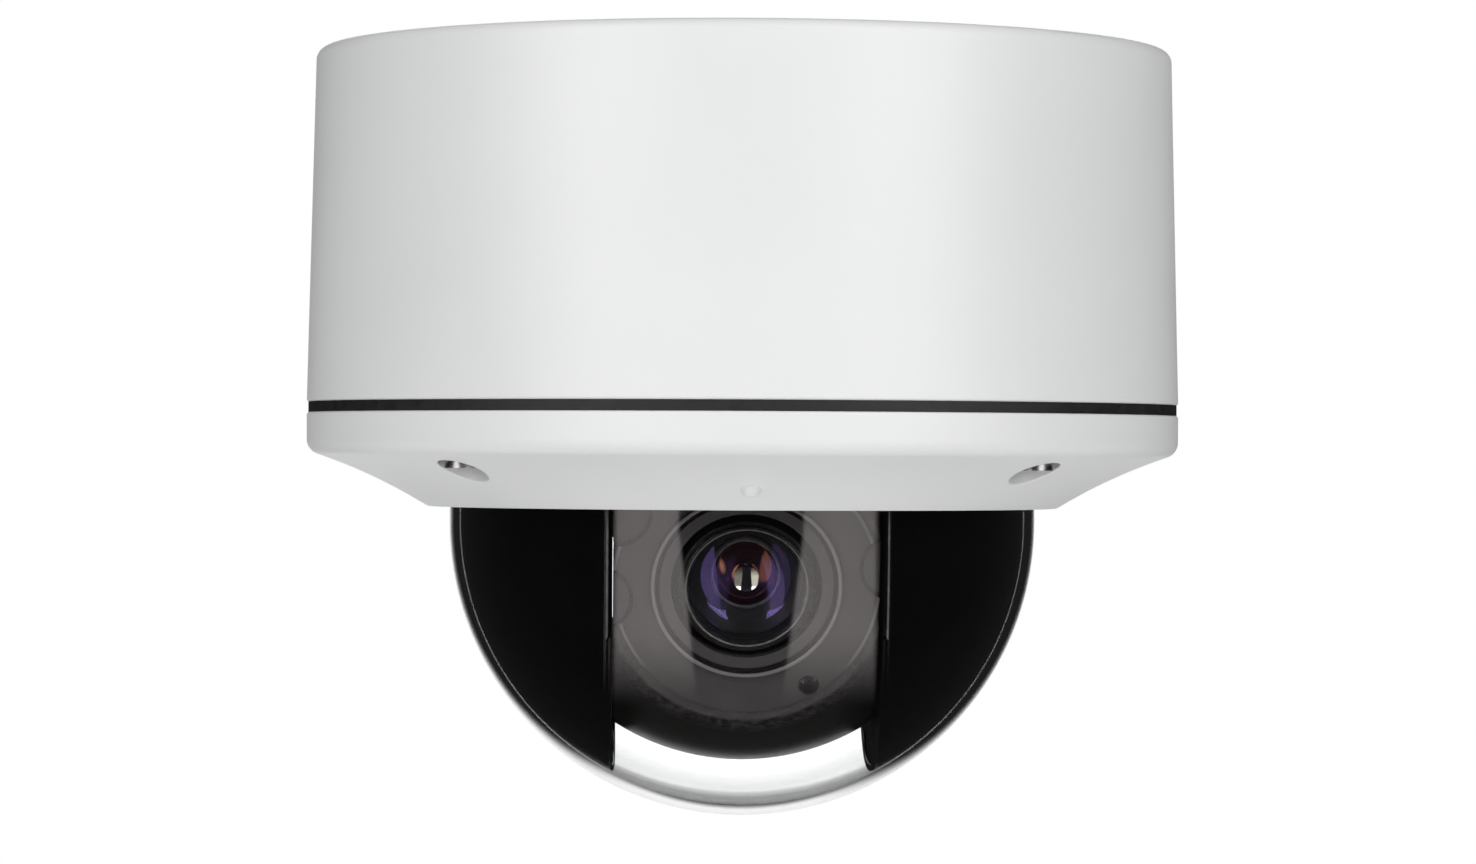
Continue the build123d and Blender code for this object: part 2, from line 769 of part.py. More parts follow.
motor_screw = pin_screw(motor_screw_radius, chassis_thickness)
with BuildPart() as pan_motor_pulley:
    with Locations((0, pan_motor_offset, 0)):
        add(
            pulley_form(
                Plane.XY.offset(yoke_top_z),
                pan_motor_pulley_radius,
                motor_shaft_radius + running_gap,
            )
        )
save(pan_motor_pulley, "pan_motor_pulley")

belt_z = yoke_top_z + pulley_flange_thickness + belt_side_gap
with BuildPart() as pan_belt:
    add(
        belt_loop(
            Plane.XY.offset(belt_z),
            (0, pan_motor_offset),
            pan_pulley_radius,
            pan_motor_pulley_radius,
            belt_width,
        )
    )
save(pan_belt, "pan_belt")

# ---------------------------------------------------------------- fan
with BuildPart() as fan_frame:
    with BuildSketch(Plane.XY.offset(chassis_z)):
        with Locations(fan_place):
            RectangleRounded(fan_side, fan_side, fan_corner_radius)
            Circle(fan_duct_radius, mode=Mode.SUBTRACT)
            with GridLocations(2 * fan_hole, 2 * fan_hole, 2, 2):
                Circle(board_screw_radius + running_gap, mode=Mode.SUBTRACT)
    extrude(amount=fan_thickness)
    with BuildSketch(Plane.XY.offset(chassis_z + fan_thickness - fan_blade_thickness)):
        with Locations(fan_place):
            Circle(fan_hub_radius)
            Rectangle(2 * fan_duct_radius + free_gap, fan_strut_width)
            Rectangle(fan_strut_width, 2 * fan_duct_radius + free_gap)
    extrude(amount=fan_blade_thickness)
    with BuildSketch(Plane.XY.offset(chassis_z + fan_thickness - fan_blade_thickness)):
        with Locations(fan_place):
            Circle(fan_pin_radius)
    extrude(amount=fan_blade_thickness - fan_thickness / 2)
save(fan_frame, "fan_frame")

rotor_height = fan_thickness - fan_blade_thickness - 2 * free_gap
with BuildPart() as fan_rotor:
    with BuildSketch(Plane.XY.offset(chassis_z + free_gap)):
        with Locations(fan_place):
            Circle(fan_hub_radius)
            with PolarLocations(fan_hub_radius - fan_blade_root, fan_blade_count):
                with Locations((0, 0)):
                    Rectangle(
                        fan_duct_radius - fan_hub_radius,
                        fan_blade_thickness,
                        rotation=fan_blade_sweep,
                        align=(Align.MIN, Align.CENTER),
                    )
    extrude(amount=rotor_height)
    with BuildSketch(Plane.XY.offset(chassis_z + free_gap + fan_blade_thickness)):
        with Locations(fan_place):
            Circle(fan_pin_radius + running_gap)
    extrude(amount=rotor_height, mode=Mode.SUBTRACT)
save(fan_rotor, "fan_rotor")

# ---------------------------------------------------------------- main board and what stands on it
fan_screw = pin_screw(board_screw_radius, fan_thickness + chassis_thickness)
with BuildPart() as board_standoffs:
    with BuildSketch(Plane.XY.offset(chassis_z)):
        with Locations(*standoffs):
            RegularPolygon(standoff_radius, 6)
    extrude(amount=standoff_length)
    with BuildSketch(Plane.XY.offset(chassis_z)):
        with Locations(*standoffs):
            Circle(board_screw_radius)
    extrude(amount=standoff_length, mode=Mode.SUBTRACT)
save(board_standoffs, "board_standoffs")

with BuildPart() as main_board:
    with BuildSketch(Plane.XY.offset(board_z)):
        Circle(main_board_radius)
        Circle(main_board_hole_radius, mode=Mode.SUBTRACT)
        with Locations(*standoffs):
            Circle(board_screw_radius + running_gap, mode=Mode.SUBTRACT)
    extrude(amount=board_thickness)
save(main_board, "main_board")

board_screw = pin_screw(board_screw_radius, standoff_length / 3)
with BuildPart() as mounting_screws:
    with Locations((0, 0, board_top_z)):
        with Locations(*standoffs):
            add(board_screw)
    with Locations((0, 0, chassis_under_z)):
        with Locations(*standoffs):
            with Locations(Rotation(180, 0, 0)):
                add(board_screw)
    with Locations((0, -fan_offset, chassis_z + fan_thickness)):
        with GridLocations(2 * fan_hole, 2 * fan_hole, 2, 2):
            add(fan_screw)
    with Locations((0, 0, chassis_z + board_thickness)):
        with Locations(*motor_ears):
            add(motor_screw)
save(mounting_screws, "mounting_screws")

stand_on = (Align.CENTER, Align.CENTER, Align.MIN)
with BuildPart() as ethernet_jack:
    with Locations((jack_x, 0, board_top_z)):
        Box(*jack_size, align=stand_on)
    with Locations((jack_x + jack_size[0] / 2, 0, board_top_z + jack_size[2] / 2)):
        Box(*jack_mouth, align=(Align.MAX, Align.CENTER, Align.CENTER), mode=Mode.SUBTRACT)
save(ethernet_jack, "ethernet_jack")

with BuildPart() as terminal_block:
    with Locations((terminal_x, 0, board_top_z)):
        Box(terminal_width, terminal_ways * terminal_pitch, terminal_height, align=stand_on)
    with Locations((terminal_x, 0, board_top_z + terminal_height)):
        with GridLocations(0, terminal_pitch, 1, terminal_ways):
            Cylinder(
                terminal_screw_radius,
                terminal_screw_depth,
                align=(Align.CENTER, Align.CENTER, Align.MAX),
                mode=Mode.SUBTRACT,
            )
save(terminal_block, "terminal_block")

with BuildPart() as heat_sink:
    with Locations((0, heat_sink_y, board_top_z)):
        Box(heat_sink_side, heat_sink_side, heat_sink_base, align=stand_on)
        with GridLocations(fin_pitch, 0, fin_count, 1):
            Box(fin_thickness, heat_sink_side, heat_sink_height, align=stand_on)
save(heat_sink, "heat_sink")

with BuildPart() as power_parts:
    with Locations((0, power_y, board_top_z)):
        Box(*transformer_size, align=stand_on)
    with Locations((-capacitor_x, power_y, board_top_z), (capacitor_x, power_y, board_top_z)):
        Cylinder(capacitor_radius, capacitor_height, align=stand_on)
save(power_parts, "power_parts")

# ---------------------------------------------------------------- yoke
shroud_screw_places = [(y, head_z + shroud_screw_rise) for y in (-shroud_screw_y, shroud_screw_y)]
bracket_top_z = head_z + bracket_top
bracket_screw_y = bracket_half_width / 2
bracket_screws = [(y, bracket_top_z + bracket_screw_rise) for y in (-bracket_screw_y, bracket_screw_y)]
driver_hole_y = driver_board_width / 2 - driver_hole_inset
driver_hole_rise = driver_board_height / 2 - driver_hole_inset
driver_places = [
    (y * driver_hole_y, head_z + driver_board_rise + z * driver_hole_rise)
    for y in (-1, 1)
    for z in (-1, 1)
]

with BuildPart() as yoke:
    with BuildSketch(Plane.XY.offset(yoke_z)):
        Circle(yoke_radius)
    extrude(amount=yoke_thickness)
    with BuildSketch(Plane.YZ.offset(arm_x)):
        with Locations((0, head_z)):
            Circle(arm_half_width)
            Rectangle(2 * arm_half_width, yoke_z - head_z, align=(Align.CENTER, Align.MIN))
            Circle(tilt_bearing_radius + seat_gap, mode=Mode.SUBTRACT)
        with Locations(*shroud_screw_places):
            Circle(shroud_screw_radius + running_gap, mode=Mode.SUBTRACT)
    extrude(amount=arm_thickness)
    mirror(about=Plane.YZ)
    with BuildSketch(Plane.YZ.offset(arm_x)):
        with Locations(*bracket_screws):
            Circle(motor_screw_radius)
    extrude(amount=arm_thickness, mode=Mode.SUBTRACT)
    with BuildSketch(Plane.YZ.offset(-arm_x)):
        with Locations(*driver_places):
            Circle(board_screw_radius)
    extrude(amount=-arm_thickness, mode=Mode.SUBTRACT)
    with BuildSketch(Plane.XY.offset(yoke_z)):
        Circle(bearing_inner_radius + seat_gap)
        with PolarLocations(yoke_screw_circle_radius, yoke_screw_count):
            Circle(yoke_screw_radius + running_gap)
    extrude(amount=yoke_thickness, mode=Mode.SUBTRACT)
    with BuildSketch(Plane.XY.offset(yoke_z)):
        Circle(spindle_flange_radius + seat_gap)
    extrude(amount=spindle_flange_thickness, mode=Mode.SUBTRACT)
save(yoke, "yoke")

yoke_screw = pin_screw(yoke_screw_radius, web_thickness + yoke_thickness)
with BuildPart() as yoke_screws:
    with Locations((0, 0, yoke_top_z + web_thickness)):
        with PolarLocations(yoke_screw_circle_radius, yoke_screw_count):
            add(yoke_screw)
save(yoke_screws, "yoke_screws")

# ---------------------------------------------------------------- shrouds
shroud_top_z = head_z + shroud_rise


def dome_form(radius, top_z):
    """A half ball below the tilt axis with an upright wall above it, all solid."""
    with BuildPart() as dome:
        with BuildSketch(Plane.XZ):
            with BuildLine():
                CenterArc((0, head_z), radius, -90, 90)
                Polyline((radius, head_z), (radius, top_z), (0, top_z), (0, head_z - radius))
            make_face()
        revolve(axis=Axis.Z)
    return dome.part


shroud_outside = dome_form(shroud_radius, shroud_top_z)
shroud_inside = dome_form(shroud_radius - shroud_wall, shroud_top_z + shroud_wall)

with BuildPart() as shroud_core:
    add(shroud_inside)
    split(bisect_by=Plane.YZ.offset(arm_x))

with BuildPart() as shroud_rim:
    add(shroud_outside)
    split(bisect_by=Plane.YZ.offset(slot_half_width - shroud_bead))
    split(bisect_by=Plane.YZ.offset(arm_x), keep=Keep.BOTTOM)
    split(bisect_by=Plane.XY.offset(head_z - shroud_bead_drop), keep=Keep.BOTTOM)
    with BuildSketch(side_plane):
        Circle(sqrt(shroud_radius ** 2 - slot_half_width ** 2) - shroud_bead_depth)
    extrude(amount=arm_x, mode=Mode.SUBTRACT)

with BuildPart() as right_shroud:
    add(shroud_outside)
    split(bisect_by=Plane.YZ.offset(slot_half_width))
    add(shroud_rim.part)
    add(shroud_core.part, mode=Mode.SUBTRACT)
    with BuildSketch(Plane.YZ.offset(slot_half_width)):
        with Locations((0, head_z)):
            Circle(tilt_bearing_radius)
        with Locations(*shroud_screw_places):
            Circle(shroud_screw_radius + running_gap)
    extrude(amount=shroud_wall, mode=Mode.SUBTRACT)
    with BuildSketch(Plane.YZ.offset(slot_half_width)):
        with Locations(*shroud_screw_places):
            Circle(2 * shroud_screw_radius)
    extrude(amount=shroud_wall / 2, mode=Mode.SUBTRACT)
save(right_shroud, "right_shroud")

with BuildPart() as left_shroud:
    add(mirror(right_shroud.part, about=Plane.YZ, mode=Mode.PRIVATE))
save(left_shroud, "left_shroud")

with BuildPart() as shroud_screws:
    with BuildSketch(Plane.YZ.offset(slot_half_width + shroud_wall / 2)):
        with Locations(*shroud_screw_places):
            Circle(2 * shroud_screw_radius - free_gap)
    extrude(amount=-shroud_wall / 2 + free_gap)
    with BuildSketch(Plane.YZ.offset(slot_half_width + shroud_wall / 2)):
        with Locations(*shroud_screw_places):
            Circle(shroud_screw_radius)
    extrude(amount=shroud_wall / 2 + arm_thickness)
    mirror(about=Plane.YZ)
save(shroud_screws, "shroud_screws")

# ---------------------------------------------------------------- tilt bearings, motor and belt
with BuildPart() as tilt_bearings:
    add(
        ring_at(
            side_plane.offset(arm_x),
            tilt_bearing_radius,
            tilt_axle_radius + running_gap,
            arm_thickness,
        )
    )
    mirror(about=Plane.YZ)
save(tilt_bearings, "tilt_bearings")

tilt_motor_z = head_z + tilt_motor_rise
tilt_plane = Plane(origin=(tilt_pulley_x, 0, head_z), x_dir=(0, 1, 0), z_dir=(1, 0, 0))
plate_plane = Plane(origin=(bracket_x, 0, tilt_motor_z), x_dir=(0, 1, 0), z_dir=(1, 0, 0))
motor_face_plane = plate_plane.offset(bracket_thickness)
tilt_ears = ((-tilt_motor_radius - motor_ear_reach / 2, 0), (tilt_motor_radius + motor_ear_reach / 2, 0))

with BuildPart() as tilt_bracket:
    with BuildSketch(plate_plane):
        Rectangle(2 * bracket_half_width, tilt_motor_radius, align=(Align.CENTER, Align.MAX))
        Rectangle(2 * bracket_half_width, bracket_top - tilt_motor_rise, align=(Align.CENTER, Align.MIN))
        Circle(motor_pilot_radius + running_gap, mode=Mode.SUBTRACT)
        with Locations(*tilt_ears):
            Circle(motor_screw_radius, mode=Mode.SUBTRACT)
    extrude(amount=bracket_thickness)
    with BuildSketch(Plane.YZ.offset(arm_face_x)):
        with Locations((0, bracket_top_z)):
            Rectangle(2 * bracket_half_width, bracket_thickness, align=(Align.CENTER, Align.MAX))
    extrude(amount=bracket_x - arm_face_x)
    with BuildSketch(Plane.YZ.offset(arm_face_x)):
        with Locations((0, bracket_top_z)):
            Rectangle(bracket_foot_width, bracket_foot, align=(Align.CENTER, Align.MIN))
            Rectangle(bracket_foot_width, bracket_thickness, align=(Align.CENTER, Align.MAX))
        with Locations(*bracket_screws):
            Circle(motor_screw_radius + running_gap, mode=Mode.SUBTRACT)
    extrude(amount=bracket_thickness)
save(tilt_bracket, "tilt_bracket")

with BuildPart() as tilt_motor:
    with BuildSketch(motor_face_plane):
        Circle(tilt_motor_radius)
    extrude(amount=tilt_motor_length)
    with BuildSketch(motor_face_plane):
        with Locations(*tilt_ears):
            Circle(motor_ear_reach)
            Circle(motor_screw_radius + running_gap, mode=Mode.SUBTRACT)
    extrude(amount=board_thickness)
    with BuildSketch(motor_face_plane):
        Circle(motor_pilot_radius)
    extrude(amount=-bracket_thickness)
    with BuildSketch(motor_face_plane):
        Circle(motor_shaft_radius)
    extrude(amount=tilt_pulley_x - bracket_x - bracket_thickness + free_gap)
save(tilt_motor, "tilt_motor")

with BuildPart() as tilt_screws:
    with BuildSketch(motor_face_plane.offset(board_thickness)):
        with Locations(*tilt_ears):
            Circle(screw_head_factor * motor_screw_radius)
    extrude(amount=motor_screw_radius)
    with BuildSketch(motor_face_plane.offset(board_thickness)):
        with Locations(*tilt_ears):
            Circle(motor_screw_radius)
    extrude(amount=-board_thickness - bracket_thickness)
    with BuildSketch(Plane.YZ.offset(arm_face_x + bracket_thickness)):
        with Locations(*bracket_screws):
            Circle(screw_head_factor * motor_screw_radius)
    extrude(amount=motor_screw_radius)
    with BuildSketch(Plane.YZ.offset(arm_face_x + bracket_thickness)):
        with Locations(*bracket_screws):
            Circle(motor_screw_radius)
    extrude(amount=-bracket_thickness - arm_thickness)
save(tilt_screws, "tilt_screws")

with BuildPart() as tilt_motor_pulley:
    add(
        pulley_form(
            Plane(origin=(tilt_pulley_x, 0, tilt_motor_z), x_dir=(0, 1, 0), z_dir=(1, 0, 0)),
            tilt_motor_pulley_radius,
            motor_shaft_radius + running_gap,
        )
    )
save(tilt_motor_pulley, "tilt_motor_pulley")

with BuildPart() as tilt_pulley:
    add(pulley_form(tilt_plane, tilt_pulley_radius, tilt_axle_radius + seat_gap))
save(tilt_pulley, "tilt_pulley")

with BuildPart() as tilt_belt:
    add(
        belt_loop(
            tilt_plane.offset(pulley_flange_thickness + belt_side_gap),
            (0, tilt_motor_rise),
            tilt_pulley_radius,
            tilt_motor_pulley_radius,
            belt_width,
        )
    )
save(tilt_belt, "tilt_belt")

# ---------------------------------------------------------------- driver board on the left arm
with BuildPart() as driver_board:
    with BuildSketch(Plane.YZ.offset(-arm_face_x - driver_spacer)):
        with Locations((0, head_z + driver_board_rise)):
            Rectangle(driver_board_width, driver_board_height)
        with Locations(*driver_places):
            Circle(board_screw_radius + running_gap, mode=Mode.SUBTRACT)
    extrude(amount=-board_thickness)
    with Locations((-arm_face_x - driver_spacer - board_thickness, 0, head_z + driver_board_rise)):
        Box(*driver_socket, align=(Align.MAX, Align.CENTER, Align.CENTER))
save(driver_board, "driver_board")

with BuildPart() as driver_spacers:
    with BuildSketch(Plane.YZ.offset(-arm_face_x)):
        with Locations(*driver_places):
            RegularPolygon(2 * board_screw_radius, 6)
    extrude(amount=-driver_spacer)
    with BuildSketch(Plane.YZ.offset(-arm_x)):
        with Locations(*driver_places):
            Circle(board_screw_radius)
    extrude(amount=-arm_thickness - driver_spacer - 2 * board_thickness)
save(driver_spacers, "driver_spacers")

# ---------------------------------------------------------------- camera head shells
def ball_form(radius, half_width, face):
    """A ball around the tilt axis with flat sides and a flat front, all solid."""
    with BuildPart() as ball:
        with Locations(head_centre):
            Sphere(radius)
        split(bisect_by=Plane.YZ.offset(half_width), keep=Keep.BOTTOM)
        split(bisect_by=Plane.YZ.offset(-half_width), keep=Keep.TOP)
        split(bisect_by=lens_plane.offset(face), keep=Keep.BOTTOM)
    return ball.part


head_outside = ball_form(head_radius, head_half_width, head_face)
head_inside = ball_form(head_radius - head_wall, head_half_width - head_wall, head_face - head_wall)
face_screw_places = [polar(face_screw_circle_radius, face_screw_angle + turn) for turn in (0, 180)]
pad_places = [polar(pad_circle_radius, angle) for angle in pad_angles]
face_plane = lens_plane.offset(head_face)
cross_plane = lens_plane.offset(cross_front)
flat_plane = Plane(origin=head_centre, x_dir=lens_dir, z_dir=(1, 0, 0))
shell_screw_places = [(-shell_screw_back, y) for y in (-shell_screw_rise, shell_screw_rise)]

with BuildPart() as head_front_shell:
    add(head_outside)
    split(bisect_by=lens_plane.offset(head_split))
    add(head_inside, mode=Mode.SUBTRACT)
    with BuildSketch(face_plane):
        Circle(disc_radius)
        with Locations(*pad_places):
            Circle(pad_radius + disc_height, mode=Mode.SUBTRACT)
    extrude(amount=disc_height)
    with BuildSketch(face_plane.offset(-head_wall)):
        with Locations(*pad_places):
            Circle(pad_radius)
    extrude(amount=head_wall + disc_height / 2)
    with BuildSketch(face_plane.offset(disc_height)):
        Circle(rim_outer_radius)
        Circle(rim_inner_radius, mode=Mode.SUBTRACT)
    extrude(amount=rim_height)
    with BuildSketch(face_plane.offset(disc_height)):
        Circle(step_outer_radius)
    extrude(amount=step_height)
    split(bisect_by=Plane.YZ.offset(head_half_width), keep=Keep.BOTTOM)
    split(bisect_by=Plane.YZ.offset(-head_half_width), keep=Keep.TOP)
    with BuildSketch(cross_plane):
        with Locations(*face_screw_places):
            Circle(face_boss_radius)
    extrude(amount=head_face - cross_front - head_wall / 2)
    with BuildSketch(cross_plane):
        Circle(lens_opening_radius)
        with Locations(*face_screw_places):
            Circle(face_screw_radius + running_gap)
    extrude(amount=head_face, mode=Mode.SUBTRACT)
    with BuildSketch(face_plane.offset(disc_height)):
        with Locations(*face_screw_places):
            Circle(face_screw_recess_radius + running_gap)
    extrude(amount=-face_screw_recess, mode=Mode.SUBTRACT)
save(head_front_shell, "head_front_shell")

with BuildPart() as head_rear_shell:
    add(head_outside)
    split(bisect_by=lens_plane.offset(head_split), keep=Keep.BOTTOM)
    add(head_inside, mode=Mode.SUBTRACT)
    with BuildSketch(flat_plane.offset(-head_half_width)):
        Circle(tilt_axle_radius + running_gap)
        with Locations(*shell_screw_places):
            Circle(board_screw_radius + running_gap)
    extrude(amount=2 * head_half_width, mode=Mode.SUBTRACT)
    with BuildSketch(flat_plane.offset(head_half_width), flat_plane.offset(-head_half_width)):
        with Locations(*shell_screw_places):
            Circle(2 * board_screw_radius)
    extrude(amount=head_wall / 2, both=True, mode=Mode.SUBTRACT)
save(head_rear_shell, "head_rear_shell")

face_screw_plane = face_plane.offset(disc_height - face_screw_recess)
face_screw_length = head_face + disc_height - face_screw_recess - cross_front + cross_thickness
with BuildPart() as face_screws:
    with BuildSketch(face_screw_plane):
        with Locations(*face_screw_places):
            Circle(face_screw_recess_radius)
            RegularPolygon(face_screw_recess_radius / 2, 6, mode=Mode.SUBTRACT)
    extrude(amount=face_screw_radius)
    with BuildSketch(face_screw_plane):
        with Locations(*face_screw_places):
            Circle(face_screw_radius)
    extrude(amount=-face_screw_length)
save(face_screws, "face_screws")

# ---------------------------------------------------------------- frame, axles and small screws
frame_x = head_half_width - head_wall
barrel_screw_places = [polar(barrel_screw_circle_radius, angle) for angle in (45, 135, 225, 315)]
with BuildPart() as camera_frame:
    with BuildSketch(flat_plane.offset(frame_x - frame_plate)):
        with Locations((-frame_back, 0)):
            Rectangle(frame_back + cross_front, 2 * frame_half_height, align=(Align.MIN, Align.CENTER))
        Circle(tilt_axle_radius + seat_gap, mode=Mode.SUBTRACT)
        with Locations(*shell_screw_places):
            Circle(board_screw_radius, mode=Mode.SUBTRACT)
    extrude(amount=frame_plate)
    mirror(about=Plane.YZ)
    with BuildSketch(cross_plane):
        Rectangle(2 * frame_x, 2 * cross_half_height)
        Circle(barrel_radius + running_gap, mode=Mode.SUBTRACT)
        with Locations(*face_screw_places):
            Circle(face_screw_radius, mode=Mode.SUBTRACT)
        with Locations(*barrel_screw_places):
            Circle(board_screw_radius, mode=Mode.SUBTRACT)
    extrude(amount=-cross_thickness)
save(camera_frame, "camera_frame")

with BuildPart() as tilt_axles:
    with BuildSketch(side_plane.offset(frame_x - frame_plate)):
        Circle(tilt_axle_flange_radius)
    extrude(amount=-tilt_axle_flange)
    with BuildSketch(side_plane.offset(frame_x - frame_plate)):
        Circle(tilt_axle_radius)
    extrude(amount=tilt_pulley_x + pulley_width - frame_x + frame_plate)
    with BuildSketch(side_plane.offset(-frame_x + frame_plate)):
        Circle(tilt_axle_flange_radius)
    extrude(amount=tilt_axle_flange)
    with BuildSketch(side_plane.offset(-frame_x + frame_plate)):
        Circle(tilt_axle_radius)
    extrude(amount=-tilt_pulley_x + frame_x - frame_plate)
    with BuildSketch(side_plane.offset(-tilt_pulley_x)):
        Circle(tilt_axle_radius / 2)
    extrude(amount=tilt_pulley_x, mode=Mode.SUBTRACT)
save(tilt_axles, "tilt_axles")

with BuildPart() as frame_screws:
    with BuildSketch(flat_plane.offset(head_half_width - head_wall / 2)):
        with Locations(*shell_screw_places):
            Circle(2 * board_screw_radius - free_gap)
    extrude(amount=head_wall / 2 - free_gap)
    with BuildSketch(flat_plane.offset(head_half_width - head_wall / 2)):
        with Locations(*shell_screw_places):
            Circle(board_screw_radius)
    extrude(amount=-head_wall / 2 - frame_plate)
    mirror(about=Plane.YZ)
    with BuildSketch(cross_plane.offset(barrel_flange_thickness)):
        with Locations(*barrel_screw_places):
            Circle(screw_head_factor * board_screw_radius)
    extrude(amount=board_screw_radius)
    with BuildSketch(cross_plane.offset(barrel_flange_thickness)):
        with Locations(*barrel_screw_places):
            Circle(board_screw_radius)
    extrude(amount=-barrel_flange_thickness - cross_thickness)
save(frame_screws, "frame_screws")

# ---------------------------------------------------------------- zoom lens
rod_places = [polar(rod_circle_radius, rod_angle + turn) for turn in (0, 180)]
element_seat = barrel_front - retainer_depth - element_step - element_edge
ledge_back = element_seat - barrel_wall
slot_rail_y = filter_height / 2 + free_gap


def barrel_cell(place, length, bore):
    """Outline of a ring inside the barrel, as radius against distance along the lens."""
    Polygon(
        (bore, place),
        (barrel_bore_radius + seat_gap, place),
        (barrel_bore_radius + seat_gap, place + length),
        (bore, place + length),
        align=None,
    )


with BuildPart() as lens_barrel:
    with BuildSketch(lens_section):
        Polygon(
            (sensor_window, barrel_back),
            (barrel_radius, barrel_back),
            (barrel_radius, barrel_front),
            (retainer_radius + running_gap, barrel_front),
            (retainer_radius + running_gap, barrel_front - retainer_depth),
            (barrel_bore_radius, barrel_front - retainer_depth),
            (barrel_bore_radius, barrel_back + barrel_wall),
            (sensor_window, barrel_back + barrel_wall),
            align=None,
        )
        barrel_cell(ledge_back, barrel_wall, rod_circle_radius - 1.5 * rod_radius)
        barrel_cell(fixed_group_place, fixed_group_length, group_bore_radius)
    revolve(axis=lens_axis)
    with BuildSketch(cross_plane):
        Circle(barrel_flange_radius)
        Circle(barrel_radius - barrel_wall / 2, mode=Mode.SUBTRACT)
        with Locations(*barrel_screw_places):
            Circle(board_screw_radius + running_gap, mode=Mode.SUBTRACT)
    extrude(amount=barrel_flange_thickness)
    with BuildSketch(lens_plane.offset(barrel_back + barrel_wall / 2)):
        for side in (-1, 1):
            with Locations((0, side * (slot_rail_y + barrel_wall / 4))):
                Rectangle(filter_length, barrel_wall / 2)
    extrude(amount=barrel_wall / 2 + filter_place + filter_thickness - barrel_back - barrel_wall)
    with BuildSketch(lens_plane.offset(barrel_back + barrel_wall / 2)):
        with Locations((-sensor_post_x, 0), (sensor_post_x, 0)):
            Circle(1.5 * board_screw_radius)
    extrude(amount=-barrel_wall / 2 - sensor_post_length)
    with BuildSketch(lens_plane.offset(barrel_back)):
        with Locations(*rod_places):
            Circle(rod_radius + seat_gap)
        with Locations((0, screw_circle_radius), (0, -screw_circle_radius)):
            Circle(lead_screw_radius + free_gap)
    extrude(amount=ledge_back + barrel_wall / 2 - barrel_back, mode=Mode.SUBTRACT)
save(lens_barrel, "lens_barrel")

with BuildPart() as guide_rods:
    with BuildSketch(lens_plane.offset(barrel_back)):
        with Locations(*rod_places):
            Circle(rod_radius)
    extrude(amount=ledge_back + barrel_wall / 2 - barrel_back - seat_gap)
save(guide_rods, "guide_rods")

with BuildPart() as lens_retainer:
    foot = barrel_front - retainer_depth - element_step
    with BuildSketch(lens_section):
        Polygon(
            (retainer_opening_radius, foot),
            (barrel_bore_radius - seat_gap, foot),
            (barrel_bore_radius - seat_gap, barrel_front - retainer_depth),
            (retainer_radius, barrel_front - retainer_depth),
            (retainer_radius, barrel_front + retainer_stand),
            (retainer_radius - retainer_rim, barrel_front + retainer_stand),
            (retainer_opening_radius, barrel_front - retainer_stand / 2),
            align=None,
        )
    revolve(axis=lens_axis)
save(lens_retainer, "lens_retainer")

element_top = element_seat + element_edge
clear_radius = retainer_opening_radius - seat_gap
bulge_radius = (clear_radius ** 2 + element_bulge ** 2) / (2 * element_bulge)
bulge_angle = atan2(clear_radius, bulge_radius - element_bulge)
with BuildPart() as front_element:
    with BuildSketch(lens_section):
        with BuildLine():
            Polyline(
                (0, element_seat),
                (barrel_bore_radius - seat_gap, element_seat),
                (barrel_bore_radius - seat_gap, element_top),
                (clear_radius, element_top),
            )
            ThreePointArc(
                (clear_radius, element_top),
                (
                    bulge_radius * sin(bulge_angle / 2),
                    element_top + element_bulge - bulge_radius * (1 - cos(bulge_angle / 2)),
                ),
                (0, element_top + element_bulge),
            )
            Line((0, element_top + element_bulge), (0, element_seat))
        make_face()
    revolve(axis=lens_axis)
save(front_element, "front_element")


def lens_carriage(place, length, nut_angle):
    """A lens group that slides on both rods and is driven through a nut on its lead screw."""
    nut = polar(screw_circle_radius, nut_angle)
    with BuildPart() as carriage:
        with BuildSketch(lens_plane.offset(place)):
            Circle(carriage_radius)
            with Locations(*rod_places, nut):
                Circle(lug_radius)
            Circle(group_bore_radius, mode=Mode.SUBTRACT)
            with Locations(*rod_places):
                Circle(rod_radius + running_gap, mode=Mode.SUBTRACT)
            with Locations(nut):
                Circle(lead_screw_radius + running_gap, mode=Mode.SUBTRACT)
        extrude(amount=length)
        with BuildSketch(lens_plane.offset(place + length / 4)):
            Circle(group_bore_radius + seat_gap)
        extrude(amount=length / 2)
    return carriage.part


with BuildPart() as zoom_group:
    add(lens_carriage(zoom_group_place, zoom_group_length, 90))
save(zoom_group, "zoom_group")

with BuildPart() as focus_group:
    add(lens_carriage(focus_group_place, focus_group_length, -90))
save(focus_group, "focus_group")

with BuildPart() as ir_filter:
    with BuildSketch(lens_plane.offset(filter_place)):
        with Locations((-filter_length / 4, 0)):
            Rectangle(filter_length, filter_height)
            with GridLocations(filter_length / 2, 0, 2, 1):
                Rectangle(filter_window, filter_window, mode=Mode.SUBTRACT)
    extrude(amount=filter_thickness)
    with BuildSketch(lens_plane.offset(filter_place + filter_thickness / 4)):
        with Locations((-filter_length / 4, 0)):
            with GridLocations(filter_length / 2, 0, 2, 1):
                Rectangle(filter_window, filter_window)
    extrude(amount=filter_thickness / 2)
save(ir_filter, "ir_filter")

